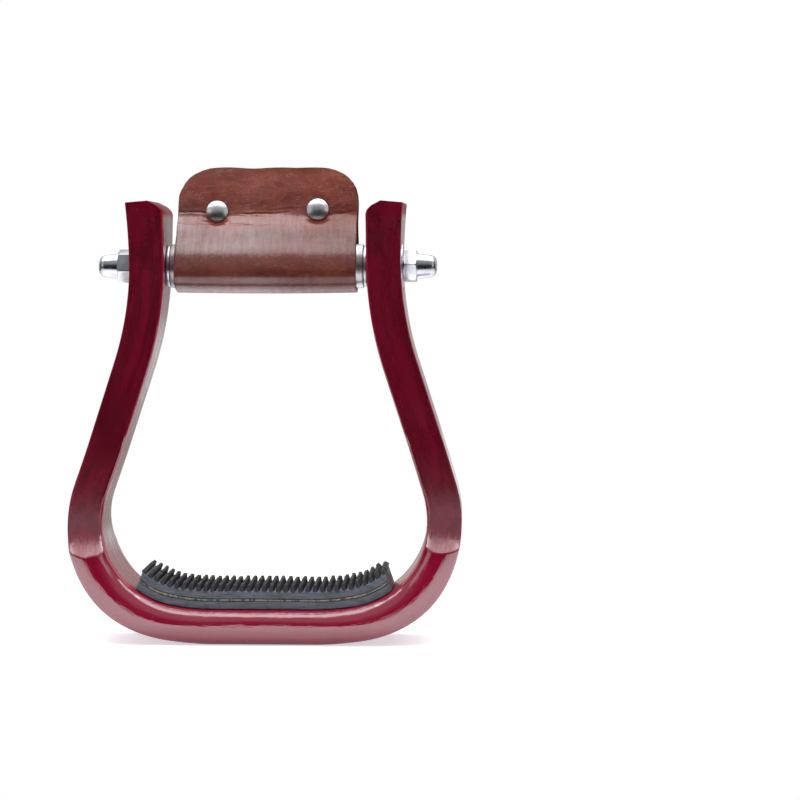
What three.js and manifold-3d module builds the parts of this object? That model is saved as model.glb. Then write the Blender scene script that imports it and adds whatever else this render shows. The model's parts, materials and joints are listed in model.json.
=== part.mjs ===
// A western riding stirrup: a bent wooden bow with a rubber tread, hung from a bolt whose roller carries a
// folded leather wrap. Millimetres, +Z up, the front of the stirrup faces -Y, and it stands on z = 0.
import * as THREE from "three";
import { mergeVertices } from "three/addons/utils/BufferGeometryUtils.js";
import Module from "manifold-3d";

// Bent board: its front outline
const bowWidth = 170;
const bowHeight = 190.6;
const boardThickness = 15;
const armGap = 87;
const sweepRadius = 110;
const sweepTurn = 10;
const cornerRadius = 44.5;
const slantLength = 54.95;
const straightTop = 25.24;
const topFlare = 1.1;
const topCrown = 0.8;
const topBevelWidth = 6.5;
const topBevelDrop = 5.7;

// Bent board: its outline seen from the side
const treadDepth = 53;
const treadEdgeRadius = 8;
const shoulderHeight = 39;
const hollowReach = 12.7;
const hollowRise = 11;
const neckDepth = 23.6;
const neckHeight = 85;
const taperHeight = 140;
const taperDepth = 27;
const topDepth = 41.2;

// Bolt through both arms
const boltBelowTop = 28;
const rodDiameter = 8;
const rodHoleClearance = 0.3;
const threadGap = 0.2;
const nutAcrossFlats = 13;
const nutHexLength = 5.8;
const nutLength = 14.4;
const nutDomeDiameter = 11;
const nutDomeEndDiameter = 9.6;
const nutEndRadius = 3.2;
const nutBoreDepth = 8.4;
const rodEndGap = 0.8;
const leftNutTurn = 47;
const rightNutTurn = 24;
const outerWasherDiameter = 20;
const outerWasherThickness = 1.2;
const washerProud = 0.2;

// Roller on the bolt
const rollerDiameter = 19;
const rollerWall = 1.8;
const bushFlangeDiameter = 18;
const bushFlangeThickness = 1.1;
const bushSpigotLength = 9;

// Leather folded round the roller
const leatherWidth = 78.4;
const leatherThickness = 1.6;
const layerGap = 0.2;
const leatherHeight = 44.6;
const leatherLean = 10;
const flapSetback = 4.2;
const foldRise = 20;
const leftCornerRadius = 17;
const rightCornerRadius = 13;

// Cap rivets through both layers
const rivetSpacing = 44;
const rivetHeight = 25;
const rivetHeadDiameter = 9.5;
const rivetHeadHeight = 2;
const rivetBackHeight = 1.4;
const rivetPostDiameter = 3;
const rivetSocketDepth = 0.9;

// Rubber tread pad
const padDepth = 41;
const padEndTurn = 37;
const padBaseThickness = 3.3;
const padPlyThickness = 0.9;
const padTopThickness = 3.2;
const plyGap = 0.15;
const nubHeight = 3;
const nubPitch = 3.15;
const nubBase = 2.2;
const nubTip = 1.4;
const nubSink = 0.4;

// Gap between pieces that touch, and how far a cutter reaches past what it cuts
const seatGap = 0.3;
const cutMargin = 5;

// How finely round shapes are faceted: arcs in degrees, turned shapes in sides, free curves in steps
const boardArcStep = 6;
const padArcStep = 3;
const leatherArcStep = 10;
const edgeArcStep = 15;
const domeArcStep = 22.5;
const roundSides = 24;
const smallSides = 16;
const curveSteps = 6;
const hollowSteps = 9;
const mergeDistance = 1e-4;

const degree = Math.PI / 180;
const sin = (angle) => Math.sin(angle * degree);
const cos = (angle) => Math.cos(angle * degree);

const wasm = await Module();
wasm.setup();

// Booleans

function solid(geometry) {
  const bare = new THREE.BufferGeometry();
  bare.setAttribute("position", geometry.getAttribute("position"));
  bare.setIndex(geometry.index);
  const merged = mergeVertices(bare, mergeDistance);
  const corners = Array.from(merged.index.array);
  const kept = [];
  for (let i = 0; i < corners.length; i += 3) {
    const [a, b, c] = corners.slice(i, i + 3);
    if (a !== b && b !== c && c !== a) kept.push(a, b, c);
  }
  return new wasm.Manifold(
    new wasm.Mesh({
      numProp: 3,
      vertProperties: merged.getAttribute("position").array,
      triVerts: new Uint32Array(kept),
    }),
  );
}

function geometryOf(body) {
  const mesh = body.getMesh();
  const geometry = new THREE.BufferGeometry();
  geometry.setAttribute("position", new THREE.BufferAttribute(mesh.vertProperties, 3));
  geometry.setIndex(new THREE.BufferAttribute(mesh.triVerts, 1));
  geometry.computeVertexNormals();
  return geometry;
}

// Shapes swept along one axis, centred on the origin. A shape drawn for the X axis is in (y, z), and one
// drawn for the Y axis is in (x, z).

const sweepBasis = {
  x: [new THREE.Vector3(0, 1, 0), new THREE.Vector3(0, 0, 1), new THREE.Vector3(1, 0, 0)],
  y: [new THREE.Vector3(1, 0, 0), new THREE.Vector3(0, 0, 1), new THREE.Vector3(0, -1, 0)],
};

function sweepShape(points, length, axis) {
  const shape = new THREE.Shape(points);
  const geometry = new THREE.ExtrudeGeometry(shape, { depth: length, bevelEnabled: false });
  geometry.translate(0, 0, -length / 2);
  geometry.applyMatrix4(new THREE.Matrix4().makeBasis(...sweepBasis[axis]));
  return solid(geometry);
}

// A solid turned about the X axis from a profile of (radius, x) points that starts and ends on the axis.
function turned(profile, sides) {
  const points = profile.map(([radius, along]) => new THREE.Vector2(radius, along));
  const geometry = new THREE.LatheGeometry(points, sides);
  geometry.rotateZ(-Math.PI / 2);
  return solid(geometry);
}

function rod(radius, from, to, sides) {
  return turned([[0, from], [radius, from], [radius, to], [0, to]], sides);
}

function tube(outer, inner, from, to, sides) {
  return rod(outer, from, to, sides).subtract(rod(inner, from - cutMargin, to + cutMargin, sides));
}

// A bent strip is a list of straight runs and arcs. A positive radius and turn bend it to the left.

function advance(place, heading, piece, share) {
  if (piece.run !== undefined) {
    const run = piece.run * share;
    return [new THREE.Vector2(place.x + cos(heading) * run, place.y + sin(heading) * run), heading];
  }
  const centre = beside(place, heading, piece.radius);
  const turnedTo = heading + piece.turn * share;
  return [beside(centre, turnedTo, -piece.radius), turnedTo];
}

function beside(place, heading, offset) {
  return new THREE.Vector2(place.x - sin(heading) * offset, place.y + cos(heading) * offset);
}

// The points of a strip's side that lies at this offset to the left of its centre line.
function traceStrip(strip, offset, step) {
  let place = strip.start;
  let heading = strip.heading;
  const points = [beside(place, heading, offset)];
  for (const piece of strip.pieces) {
    const steps = piece.run === undefined ? Math.max(1, Math.ceil(Math.abs(piece.turn) / step)) : 1;
    for (let i = 1; i <= steps; i++) {
      const [at, facing] = advance(place, heading, piece, i / steps);
      points.push(beside(at, facing, offset));
    }
    [place, heading] = advance(place, heading, piece, 1);
  }
  return points;
}

// The length of a strip's side, and the place and heading at a distance along it.

function sideLength(piece, offset) {
  return piece.run ?? (piece.radius - offset) * piece.turn * degree;
}

function stripLength(strip, offset) {
  return strip.pieces.reduce((sum, piece) => sum + sideLength(piece, offset), 0);
}

function alongStrip(strip, offset, distance) {
  let place = strip.start;
  let heading = strip.heading;
  let left = distance;
  for (const piece of strip.pieces) {
    const share = Math.min(1, left / sideLength(piece, offset));
    [place, heading] = advance(place, heading, piece, share);
    left -= sideLength(piece, offset) * share;
  }
  return { at: beside(place, heading, offset), heading };
}

const mirrored = (points) => points.map((p) => new THREE.Vector2(-p.x, p.y)).reverse();

// Centre line of the board's right half, from the middle of the tread to the top of the arm

const halfBoard = boardThickness / 2;
const bellReach = sweepRadius * sin(sweepTurn) + cornerRadius * (1 - sin(sweepTurn));
const treadFlat = bowWidth / 2 - halfBoard - bellReach;
const armCentreX = armGap / 2 + halfBoard;

// From the bell's corner the arm rises on a slant and bends upright at the neck. How far it comes in and
// how far it rises settle the slant's angle and the neck's radius: the slant lies on the tangent between the
// circles of the corner and the neck.
const armShift = bowWidth / 2 - halfBoard - armCentreX;
const cornerCentreZ = halfBoard + sweepRadius - (sweepRadius - cornerRadius) * cos(sweepTurn);
const armRise = bowHeight - straightTop - cornerCentreZ;
const bothRadii = (armShift ** 2 + armRise ** 2 - slantLength ** 2) / (2 * armShift);
const neckRadius = bothRadii - cornerRadius;
const slantHeading = Math.atan2(armRise, bothRadii - armShift) + Math.atan2(bothRadii, slantLength);
const armSplay = slantHeading / degree - 90;

const boltHeight = bowHeight - boltBelowTop;
const flatStart = { start: new THREE.Vector2(0, halfBoard), heading: 0 };
const flatPiece = { run: treadFlat };
const sweepPiece = { radius: sweepRadius, turn: sweepTurn };

const halfBow = {
  ...flatStart,
  pieces: [
    flatPiece,
    sweepPiece,
    { radius: cornerRadius, turn: 90 + armSplay - sweepTurn },
    { run: slantLength },
    { radius: -neckRadius, turn: -armSplay },
    { run: straightTop },
  ],
};

// Where a side of the arm stands at a height
function armFaceAt(height, offset) {
  const points = traceStrip(halfBow, offset, boardArcStep);
  const next = points.findIndex((p) => p.y >= height);
  const above = points[next];
  const below = points[next - 1];
  return THREE.MathUtils.mapLinear(height, below.y, above.y, below.x, above.x);
}

// The arm's inner face comes nearest to the roller at the top of the bush's flange.
const armInside = armFaceAt(boltHeight + bushFlangeDiameter / 2, halfBoard);
const armOutside = armFaceAt(boltHeight, -halfBoard);
const spotFaceDepth = outerWasherThickness + seatGap - washerProud;

// Bow

function curvePoints(from, control, to, count) {
  return new THREE.QuadraticBezierCurve(from, control, to).getPoints(count);
}

// The board's front outline. The outer face flares out a little above the bolt, and the top is crowned
// and rounded down to the inner face by a curve that bulges to a quarter of the bevel's width and drop.
function frontOutline() {
  const outer = traceStrip(halfBow, -halfBoard, boardArcStep).filter((p) => p.y < boltHeight);
  const inner = traceStrip(halfBow, halfBoard, boardArcStep).filter((p) => p.y < bowHeight - topBevelDrop);
  const outerX = armCentreX + halfBoard;
  const innerX = armCentreX - halfBoard;
  const flareStart = new THREE.Vector2(outerX, boltHeight);
  const flareEnd = new THREE.Vector2(outerX + topFlare, bowHeight - topCrown);
  const flareBend = new THREE.Vector2(outerX, (boltHeight + bowHeight) / 2);
  const bevelStart = new THREE.Vector2(innerX + topBevelWidth, bowHeight);
  const bevelEnd = new THREE.Vector2(innerX, bowHeight - topBevelDrop);
  const bevelBend = new THREE.Vector2(innerX + topBevelWidth / 4, bowHeight - topBevelDrop / 4);
  const right = [
    ...outer.slice(1),
    ...curvePoints(flareStart, flareBend, flareEnd, curveSteps),
    ...curvePoints(bevelStart, bevelBend, bevelEnd, curveSteps),
    ...inner.reverse(),
  ];
  return [...right, ...mirrored(right.slice(0, -1))];
}

// Half of the board's depth against height: straight tread sides up to the shoulder, a hollow curve in to
// the neck, a slight taper up the arm, and a flare out to the wide top.
function sideOutline() {
  const halfTread = treadDepth / 2;
  const halfNeck = neckDepth / 2;
  const edgeCentre = new THREE.Vector2(halfTread - treadEdgeRadius, treadEdgeRadius);
  const edge = [];
  for (let angle = -90; angle <= 0; angle += edgeArcStep) {
    edge.push(new THREE.Vector2(
      edgeCentre.x + treadEdgeRadius * cos(angle),
      edgeCentre.y + treadEdgeRadius * sin(angle),
    ));
  }
  const shoulder = new THREE.Vector2(halfTread, shoulderHeight);
  const neck = new THREE.Vector2(halfNeck, neckHeight);
  const hollow = new THREE.Vector2(halfTread - hollowReach, shoulderHeight + hollowRise);
  const taperTop = new THREE.Vector2(taperDepth / 2, taperHeight);
  const slope = (taperDepth - neckDepth) / 2 / (taperHeight - neckHeight);
  const flareBend = new THREE.Vector2(
    taperDepth / 2 + slope * (bowHeight - taperHeight) / 2,
    (bowHeight + taperHeight) / 2,
  );
  const rear = [
    ...edge,
    ...curvePoints(shoulder, hollow, neck, hollowSteps),
    ...curvePoints(taperTop, flareBend, new THREE.Vector2(topDepth / 2, bowHeight), curveSteps),
  ];
  return [...rear, ...mirrored(rear)];
}

function bowGeometry() {
  let board = sweepShape(frontOutline(), treadDepth + 2 * cutMargin, "y");
  board = board.intersect(sweepShape(sideOutline(), bowWidth + 2 * cutMargin, "x"));
  const hole = rodDiameter / 2 + rodHoleClearance;
  const seat = outerWasherDiameter / 2 + seatGap;
  for (const side of [-1, 1]) {
    const seatFloor = side * (armOutside - spotFaceDepth);
    const beyond = side * (armOutside + cutMargin);
    board = board
      .subtract(barAtBolt(hole, side * (armInside - cutMargin), beyond))
      .subtract(barAtBolt(seat, seatFloor, beyond));
  }
  return geometryOf(board);
}

// A round cutter on the bolt's axis
function barAtBolt(radius, from, to) {
  return rod(radius, Math.min(from, to), Math.max(from, to), roundSides).translate([0, 0, boltHeight]);
}

// Bolt, nuts and washers, in the bolt's own frame: the origin is the middle of its axis

const washerFace = armOutside + washerProud;
const nutSeat = washerFace + seatGap;

function outerWasherGeometry(side) {
  const from = washerFace - outerWasherThickness;
  const hole = rodDiameter / 2 + rodHoleClearance;
  const ring = tube(outerWasherDiameter / 2, hole, from, washerFace, roundSides);
  return geometryOf(side > 0 ? ring : ring.mirror([1, 0, 0]));
}

function capNutGeometry(side, turn) {
  const acrossCorners = nutAcrossFlats / cos(30);
  const chamfer = (acrossCorners - nutAcrossFlats) / 2 * Math.tan(30 * degree);
  const hexBlank = new THREE.CylinderGeometry(acrossCorners / 2, acrossCorners / 2, nutHexLength, 6);
  hexBlank.rotateZ(-Math.PI / 2);
  hexBlank.translate(nutHexLength / 2, 0, 0);
  const chamferRadius = nutAcrossFlats / 2;
  const chamfered = turned([
    [0, 0],
    [chamferRadius, 0],
    [acrossCorners / 2, chamfer],
    [acrossCorners / 2, nutHexLength - chamfer],
    [chamferRadius, nutHexLength],
    [0, nutHexLength],
  ], roundSides);
  const endRadius = nutDomeEndDiameter / 2;
  const neck = nutDomeDiameter / 2;
  const dome = [[0, nutHexLength / 2], [neck, nutHexLength / 2], [neck, nutHexLength]];
  for (let angle = 0; angle <= 90; angle += domeArcStep) {
    dome.push([
      endRadius - nutEndRadius * (1 - cos(angle)),
      nutLength - nutEndRadius * (1 - sin(angle)),
    ]);
  }
  dome.push([0, nutLength]);
  const bore = rod(rodDiameter / 2 + threadGap, -cutMargin, nutBoreDepth, roundSides);
  const nut = solid(hexBlank)
    .intersect(chamfered)
    .add(turned(dome, roundSides))
    .subtract(bore)
    .rotate([turn, 0, 0])
    .translate([nutSeat, 0, 0]);
  return geometryOf(side > 0 ? nut : nut.mirror([1, 0, 0]));
}

function throughRodGeometry() {
  const reach = nutSeat + nutBoreDepth - rodEndGap;
  return geometryOf(rod(rodDiameter / 2, -reach, reach, roundSides));
}

// Roller: a tube on two flanged bushes that centre it on the bolt

const bushFlangeFace = armInside - seatGap;
const rollerEnd = bushFlangeFace - bushFlangeThickness - seatGap;
const rollerBore = rollerDiameter / 2 - rollerWall;

function rollerTubeGeometry() {
  return geometryOf(tube(rollerDiameter / 2, rollerBore, -rollerEnd, rollerEnd, roundSides));
}

function rollerBushGeometry(side) {
  const spigotEnd = rollerEnd - bushSpigotLength;
  const spigot = rod(rollerBore - threadGap, spigotEnd, bushFlangeFace, roundSides);
  const flangeBack = bushFlangeFace - bushFlangeThickness;
  const flange = rod(bushFlangeDiameter / 2, flangeBack, bushFlangeFace, roundSides);
  const bore = rod(rodDiameter / 2 + rodHoleClearance, spigotEnd - cutMargin, armOutside, roundSides);
  const bush = spigot.add(flange).subtract(bore);
  return geometryOf(side > 0 ? bush : bush.mirror([1, 0, 0]));
}

// Leather wrap, in a frame on the bolt's axis that leans back with the flap. The strip starts at the top of
// the rear layer, runs round the roller and comes back up as the front layer.

const wrapRadius = rollerDiameter / 2 + seatGap + leatherThickness / 2;
const rearLayerY = flapSetback + (leatherThickness + layerGap) / 2;
const frontLayerY = flapSetback - (leatherThickness + layerGap) / 2;

// The radius of the reverse bend that joins a layer at this distance behind the axis to the wrap's circle
function reverseBend(layerY, side) {
  const behind = side * layerY;
  return (behind ** 2 + foldRise ** 2 - wrapRadius ** 2) / (2 * (wrapRadius - behind));
}

const rearBend = reverseBend(rearLayerY, 1);
const frontBend = reverseBend(frontLayerY, -1);
const rearTangent = Math.atan2(foldRise, rearLayerY + rearBend) / degree;
const frontTangent = Math.atan2(foldRise, frontLayerY - frontBend) / degree;

const leatherStrip = {
  start: new THREE.Vector2(rearLayerY, leatherHeight),
  heading: -90,
  pieces: [
    { run: leatherHeight - foldRise },
    { radius: rearBend, turn: rearTangent },
    { radius: -wrapRadius, turn: frontTangent - rearTangent - 360 },
    { radius: frontBend, turn: 180 - frontTangent },
    { run: leatherHeight - foldRise },
  ],
};

// The wrap seen from the front: square below, with its two top corners rounded
function flapOutline() {
  const half = leatherWidth / 2;
  const below = -wrapRadius - cutMargin;
  const points = [new THREE.Vector2(-half, below), new THREE.Vector2(half, below)];
  for (const [side, radius, first] of [[1, rightCornerRadius, 0], [-1, leftCornerRadius, 90]]) {
    for (let angle = first; angle <= first + 90; angle += leatherArcStep) {
      points.push(new THREE.Vector2(
        side * (half - radius) + radius * cos(angle),
        leatherHeight - radius + radius * sin(angle),
      ));
    }
  }
  return points;
}

function leatherWrapGeometry() {
  const outerSide = traceStrip(leatherStrip, leatherThickness / 2, leatherArcStep);
  const innerSide = traceStrip(leatherStrip, -leatherThickness / 2, leatherArcStep);
  const section = [...outerSide, ...innerSide.reverse()];
  let wrap = sweepShape(section, leatherWidth, "x");
  wrap = wrap.intersect(sweepShape(flapOutline(), 4 * rollerDiameter, "y"));
  for (const side of [-1, 1]) {
    const hole = acrossFlap(rivetPostDiameter / 2 + seatGap, -cutMargin, 2 * cutMargin + flapSetback);
    wrap = wrap.subtract(hole.translate([side * rivetSpacing / 2, 0, rivetHeight]));
  }
  return geometryOf(wrap);
}

// Rivets: a dome cap with a socket in front, and a post with its own cap behind

const flapFront = frontLayerY - leatherThickness / 2;
const flapRear = rearLayerY + leatherThickness / 2;

// A pin whose length runs from front to rear
function acrossFlap(radius, from, to) {
  return rod(radius, from, to, smallSides).rotate([0, 0, 90]);
}

// A low dome of this height on the origin's plane, bulging towards +X
function domeCap(height) {
  const radius = rivetHeadDiameter / 2;
  const rim = height / 4;
  const profile = [[0, 0], [radius, 0]];
  for (let angle = 0; angle <= 90; angle += domeArcStep) {
    profile.push([radius * cos(angle), rim + (height - rim) * sin(angle)]);
  }
  return turned(profile, smallSides);
}

function rivetCapGeometry() {
  const socket = acrossFlap(rivetPostDiameter / 2 + threadGap, -rivetSocketDepth, cutMargin);
  const cap = domeCap(rivetHeadHeight).rotate([0, 0, -90]).subtract(socket);
  return geometryOf(cap.translate([0, flapFront - seatGap, 0]));
}

function rivetPostGeometry() {
  const back = domeCap(rivetBackHeight).rotate([0, 0, 90]).translate([0, flapRear + seatGap, 0]);
  const tip = flapFront - seatGap - rivetSocketDepth + threadGap;
  const post = acrossFlap(rivetPostDiameter / 2, tip, flapRear + seatGap + rivetBackHeight / 2);
  return geometryOf(back.add(post));
}

// Tread pad: three bonded layers that follow the bend of the board

const padStrip = {
  ...flatStart,
  pieces: [flatPiece, sweepPiece, { radius: cornerRadius, turn: padEndTurn - sweepTurn }],
};
const padUnderside = halfBoard + seatGap;
const plyUnderside = padUnderside + padBaseThickness + plyGap;
const topUnderside = plyUnderside + padPlyThickness + plyGap;
const topFace = topUnderside + padTopThickness;

// A layer of the pad between two distances above the board's centre line
function padLayer(lower, upper) {
  const lowerSide = traceStrip(padStrip, lower, padArcStep);
  const upperSide = traceStrip(padStrip, upper, padArcStep);
  const right = [...lowerSide.slice(1), ...upperSide.reverse()];
  return sweepShape([...right, ...mirrored(right.slice(0, -1))], padDepth, "y");
}

function nubSolid() {
  const radius = nubTip / 2 * Math.SQRT2;
  const nub = new THREE.CylinderGeometry(radius, radius * nubBase / nubTip, nubHeight + nubSink, 4);
  nub.rotateY(Math.PI / 4);
  nub.rotateX(Math.PI / 2);
  nub.translate(0, 0, (nubHeight - nubSink) / 2);
  return solid(nub);
}

function treadTopGeometry() {
  const nub = nubSolid();
  const sheet = padLayer(topUnderside, topFace);
  const columns = Math.floor((stripLength(padStrip, topFace) - nubBase / 2) / nubPitch);
  const rows = Math.floor((padDepth - nubBase) / 2 / nubPitch);
  const nubs = [];
  for (let column = -columns; column <= columns; column++) {
    const side = Math.sign(column);
    const { at, heading } = alongStrip(padStrip, topFace, Math.abs(column) * nubPitch);
    const row = nub.rotate([0, -side * heading, 0]);
    for (let step = -rows; step <= rows; step++) {
      nubs.push(row.translate([side * at.x, step * nubPitch, at.y]));
    }
  }
  return geometryOf(wasm.Manifold.union([sheet, ...nubs]));
}

// Materials

function finish(color, roughness, metalness) {
  return new THREE.MeshStandardMaterial({ color, roughness, metalness });
}

const varnishedWood = finish(0x6e0418, 0.22, 0);
const blackRubber = finish(0x1b1c1f, 0.75, 0);
const beltFabric = finish(0x8a8663, 0.9, 0);
const brownLeather = finish(0x7a3b2c, 0.45, 0);
const platedSteel = finish(0xc9ccd0, 0.28, 1);
const zincSteel = finish(0x8d9096, 0.4, 1);

function piece(name, geometry, material) {
  const mesh = new THREE.Mesh(geometry, material);
  mesh.name = name;
  return mesh;
}

// Assembly

const stirrup = new THREE.Group();
stirrup.add(piece("bow", bowGeometry(), varnishedWood));

const tread = new THREE.Group();
tread.add(
  piece("tread_base", geometryOf(padLayer(padUnderside, padUnderside + padBaseThickness)), blackRubber),
  piece("tread_fabric_ply", geometryOf(padLayer(plyUnderside, plyUnderside + padPlyThickness)), beltFabric),
  piece("tread_top", treadTopGeometry(), blackRubber),
);
stirrup.add(tread);

const bolt = new THREE.Group();
bolt.position.z = boltHeight;
bolt.add(
  piece("through_rod", throughRodGeometry(), zincSteel),
  piece("cap_nut_left", capNutGeometry(-1, leftNutTurn), platedSteel),
  piece("cap_nut_right", capNutGeometry(1, rightNutTurn), platedSteel),
  piece("outer_washer_left", outerWasherGeometry(-1), platedSteel),
  piece("outer_washer_right", outerWasherGeometry(1), platedSteel),
);
stirrup.add(bolt);

const roller = new THREE.Group();
roller.position.z = boltHeight;
roller.add(
  piece("roller_tube", rollerTubeGeometry(), platedSteel),
  piece("roller_bush_left", rollerBushGeometry(-1), platedSteel),
  piece("roller_bush_right", rollerBushGeometry(1), platedSteel),
);
stirrup.add(roller);

const leather = new THREE.Group();
leather.position.z = boltHeight;
leather.rotation.x = -leatherLean * degree;
leather.add(piece("leather_wrap", leatherWrapGeometry(), brownLeather));
for (const [end, side] of [["left", -1], ["right", 1]]) {
  const rivet = new THREE.Group();
  rivet.position.set(side * rivetSpacing / 2, 0, rivetHeight);
  rivet.add(
    piece("rivet_cap_" + end, rivetCapGeometry(), platedSteel),
    piece("rivet_post_" + end, rivetPostGeometry(), platedSteel),
  );
  leather.add(rivet);
}
stirrup.add(leather);

export default stirrup;
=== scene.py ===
# %% [markdown]
# # A saddle stirrup of bent wood
#
# The stirrup stands on its tread. A board is bent into a bell, a rubber pad lies on the tread, and a bolt
# with a roller joins the two arms. A folded piece of leather is riveted round the roller. The measured
# model comes in as a fixed frame, and every step below makes one piece or one finish for it, each in the
# place where that frame has it.
# %% Load the measured model
import json
import math

import bmesh
import bpy
from mathutils import Matrix, Vector, noise


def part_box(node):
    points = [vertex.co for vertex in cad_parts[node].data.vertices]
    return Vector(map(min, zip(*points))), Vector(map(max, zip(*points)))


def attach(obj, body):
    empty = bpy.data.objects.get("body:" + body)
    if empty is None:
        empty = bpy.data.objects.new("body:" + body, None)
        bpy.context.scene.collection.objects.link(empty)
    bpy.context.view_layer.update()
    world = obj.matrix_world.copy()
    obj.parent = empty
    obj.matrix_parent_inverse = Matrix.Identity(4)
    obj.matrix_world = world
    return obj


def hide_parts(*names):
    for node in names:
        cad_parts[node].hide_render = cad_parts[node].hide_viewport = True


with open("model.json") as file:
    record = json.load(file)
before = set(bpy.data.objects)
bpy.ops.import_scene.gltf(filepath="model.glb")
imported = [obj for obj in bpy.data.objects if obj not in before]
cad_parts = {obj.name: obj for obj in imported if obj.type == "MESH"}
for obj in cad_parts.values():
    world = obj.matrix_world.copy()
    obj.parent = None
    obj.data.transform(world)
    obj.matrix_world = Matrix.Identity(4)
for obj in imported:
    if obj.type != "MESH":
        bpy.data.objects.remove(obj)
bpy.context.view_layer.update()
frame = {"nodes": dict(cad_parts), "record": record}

# %% [markdown]
# ## The camera
#
# The photograph was taken from a little to the right of the front, level with the bolt, through a long
# lens. The same picture can be had by panning and tilting or by shifting the lens. Panning is chosen here,
# because the view from any other side then keeps the stirrup in the middle of its picture.
# %% Set up the camera
camera_data = bpy.data.cameras.new("camera")
camera_data.sensor_width = 36
camera_data.lens = 132.96
camera = bpy.data.objects.new("camera", camera_data)
bpy.context.scene.collection.objects.link(camera)
bpy.context.scene.camera = camera

camera.location = (0.11869, -1.2795, 0.15947)
looks_at = Vector((0.05745, 0, 0.1046))
camera.rotation_mode = "QUATERNION"
camera.rotation_quaternion = (looks_at - camera.location).to_track_quat("-Z", "Y")
print("camera is", round((looks_at - camera.location).length, 3), "m from what it looks at")

# %% [markdown]
# ## From a bmesh to a piece
#
# Shapes are worked out in millimetres, the way a maker reads a drawing, and shrunk to metres at the end.
# Every piece ends the same way: doubles are merged, the faces are turned outwards, curved faces are shaded
# smooth and real edges are kept sharp. Then the piece is hung on the body that carries it, and the parts of
# the measured model that it stands for are hidden. Its finish is given later.
# %% Finish a piece
millimetre = 0.001


def as_object(name, shape):
    mesh = bpy.data.meshes.new(name)
    shape.to_mesh(mesh)
    shape.free()
    made = bpy.data.objects.new(name, mesh)
    bpy.context.scene.collection.objects.link(made)
    return made


def finish_piece(name, shape, body, nodes, sharp=35):
    bmesh.ops.remove_doubles(shape, verts=shape.verts, dist=0.001)
    bmesh.ops.recalc_face_normals(shape, faces=shape.faces)
    bmesh.ops.scale(shape, vec=(millimetre,) * 3, verts=shape.verts)
    piece = as_object(name, shape)
    piece.data.shade_smooth()
    piece.data.set_sharp_from_angle(angle=math.radians(sharp))
    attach(piece, body)
    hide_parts(*nodes)
    print(name, "has", len(piece.data.polygons), "faces")
    return piece


# %% [markdown]
# ### Saw, bevel and turn
#
# A few steps come back on almost every piece. Blender's bisect is the saw: with one side cleared it takes
# off what lies beyond a plane, and the open end that it leaves is filled from the edges that it made. The
# bevel operator has other defaults than the editor has, so its settings are written out.
# %% Helpers for every shape
def everything(shape):
    return shape.verts[:] + shape.edges[:] + shape.faces[:]


def parts_above(shape, height):
    faces = [face for face in shape.faces if face.calc_center_median().z > height]
    return list({part for face in faces for part in (face, *face.edges, *face.verts)})


def saw_off(shape, parts, place, beyond, fill=bmesh.ops.edgeloop_fill):
    made = bmesh.ops.bisect_plane(
        shape, geom=parts, dist=0.0001, plane_co=place, plane_no=beyond, clear_outer=True,
    )
    cut = [part for part in made["geom_cut"] if isinstance(part, bmesh.types.BMEdge)]
    fill(shape, edges=[edge for edge in cut if edge.is_boundary])


def bevel_edges(shape, edges, width):
    bmesh.ops.bevel(
        shape, geom=edges, offset=width, offset_type="OFFSET", segments=2, profile=0.5,
        affect="EDGES", material=-1, clamp_overlap=True,
    )


def rotate(shape, degrees, axis):
    matrix = Matrix.Rotation(math.radians(degrees), 3, axis)
    bmesh.ops.rotate(shape, verts=shape.verts, cent=(0, 0, 0), matrix=matrix)


def mirror_in_x(shape):
    bmesh.ops.mirror(
        shape, geom=everything(shape), matrix=Matrix.Identity(4), merge_dist=0.001, axis="X",
    )


# %% [markdown]
# ## A section carried along a bent path
#
# The board, the rubber and the leather are all flat strips that follow a bent path. A strip like that can
# be modelled flat and bent with a curve modifier, or its section can be carried along the path. Carrying
# the section is exact: an extrusion makes each straight run and a spin makes each bend. The path lies in
# the X-Z plane. As the section moves, every point notes how far it has come and which way the path runs,
# and what its place in the section is, because later steps shape the strip by these.
# %% Carry a section along a path
def outwards(facing):
    return Vector((-math.sin(facing), 0, math.cos(facing)))


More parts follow.
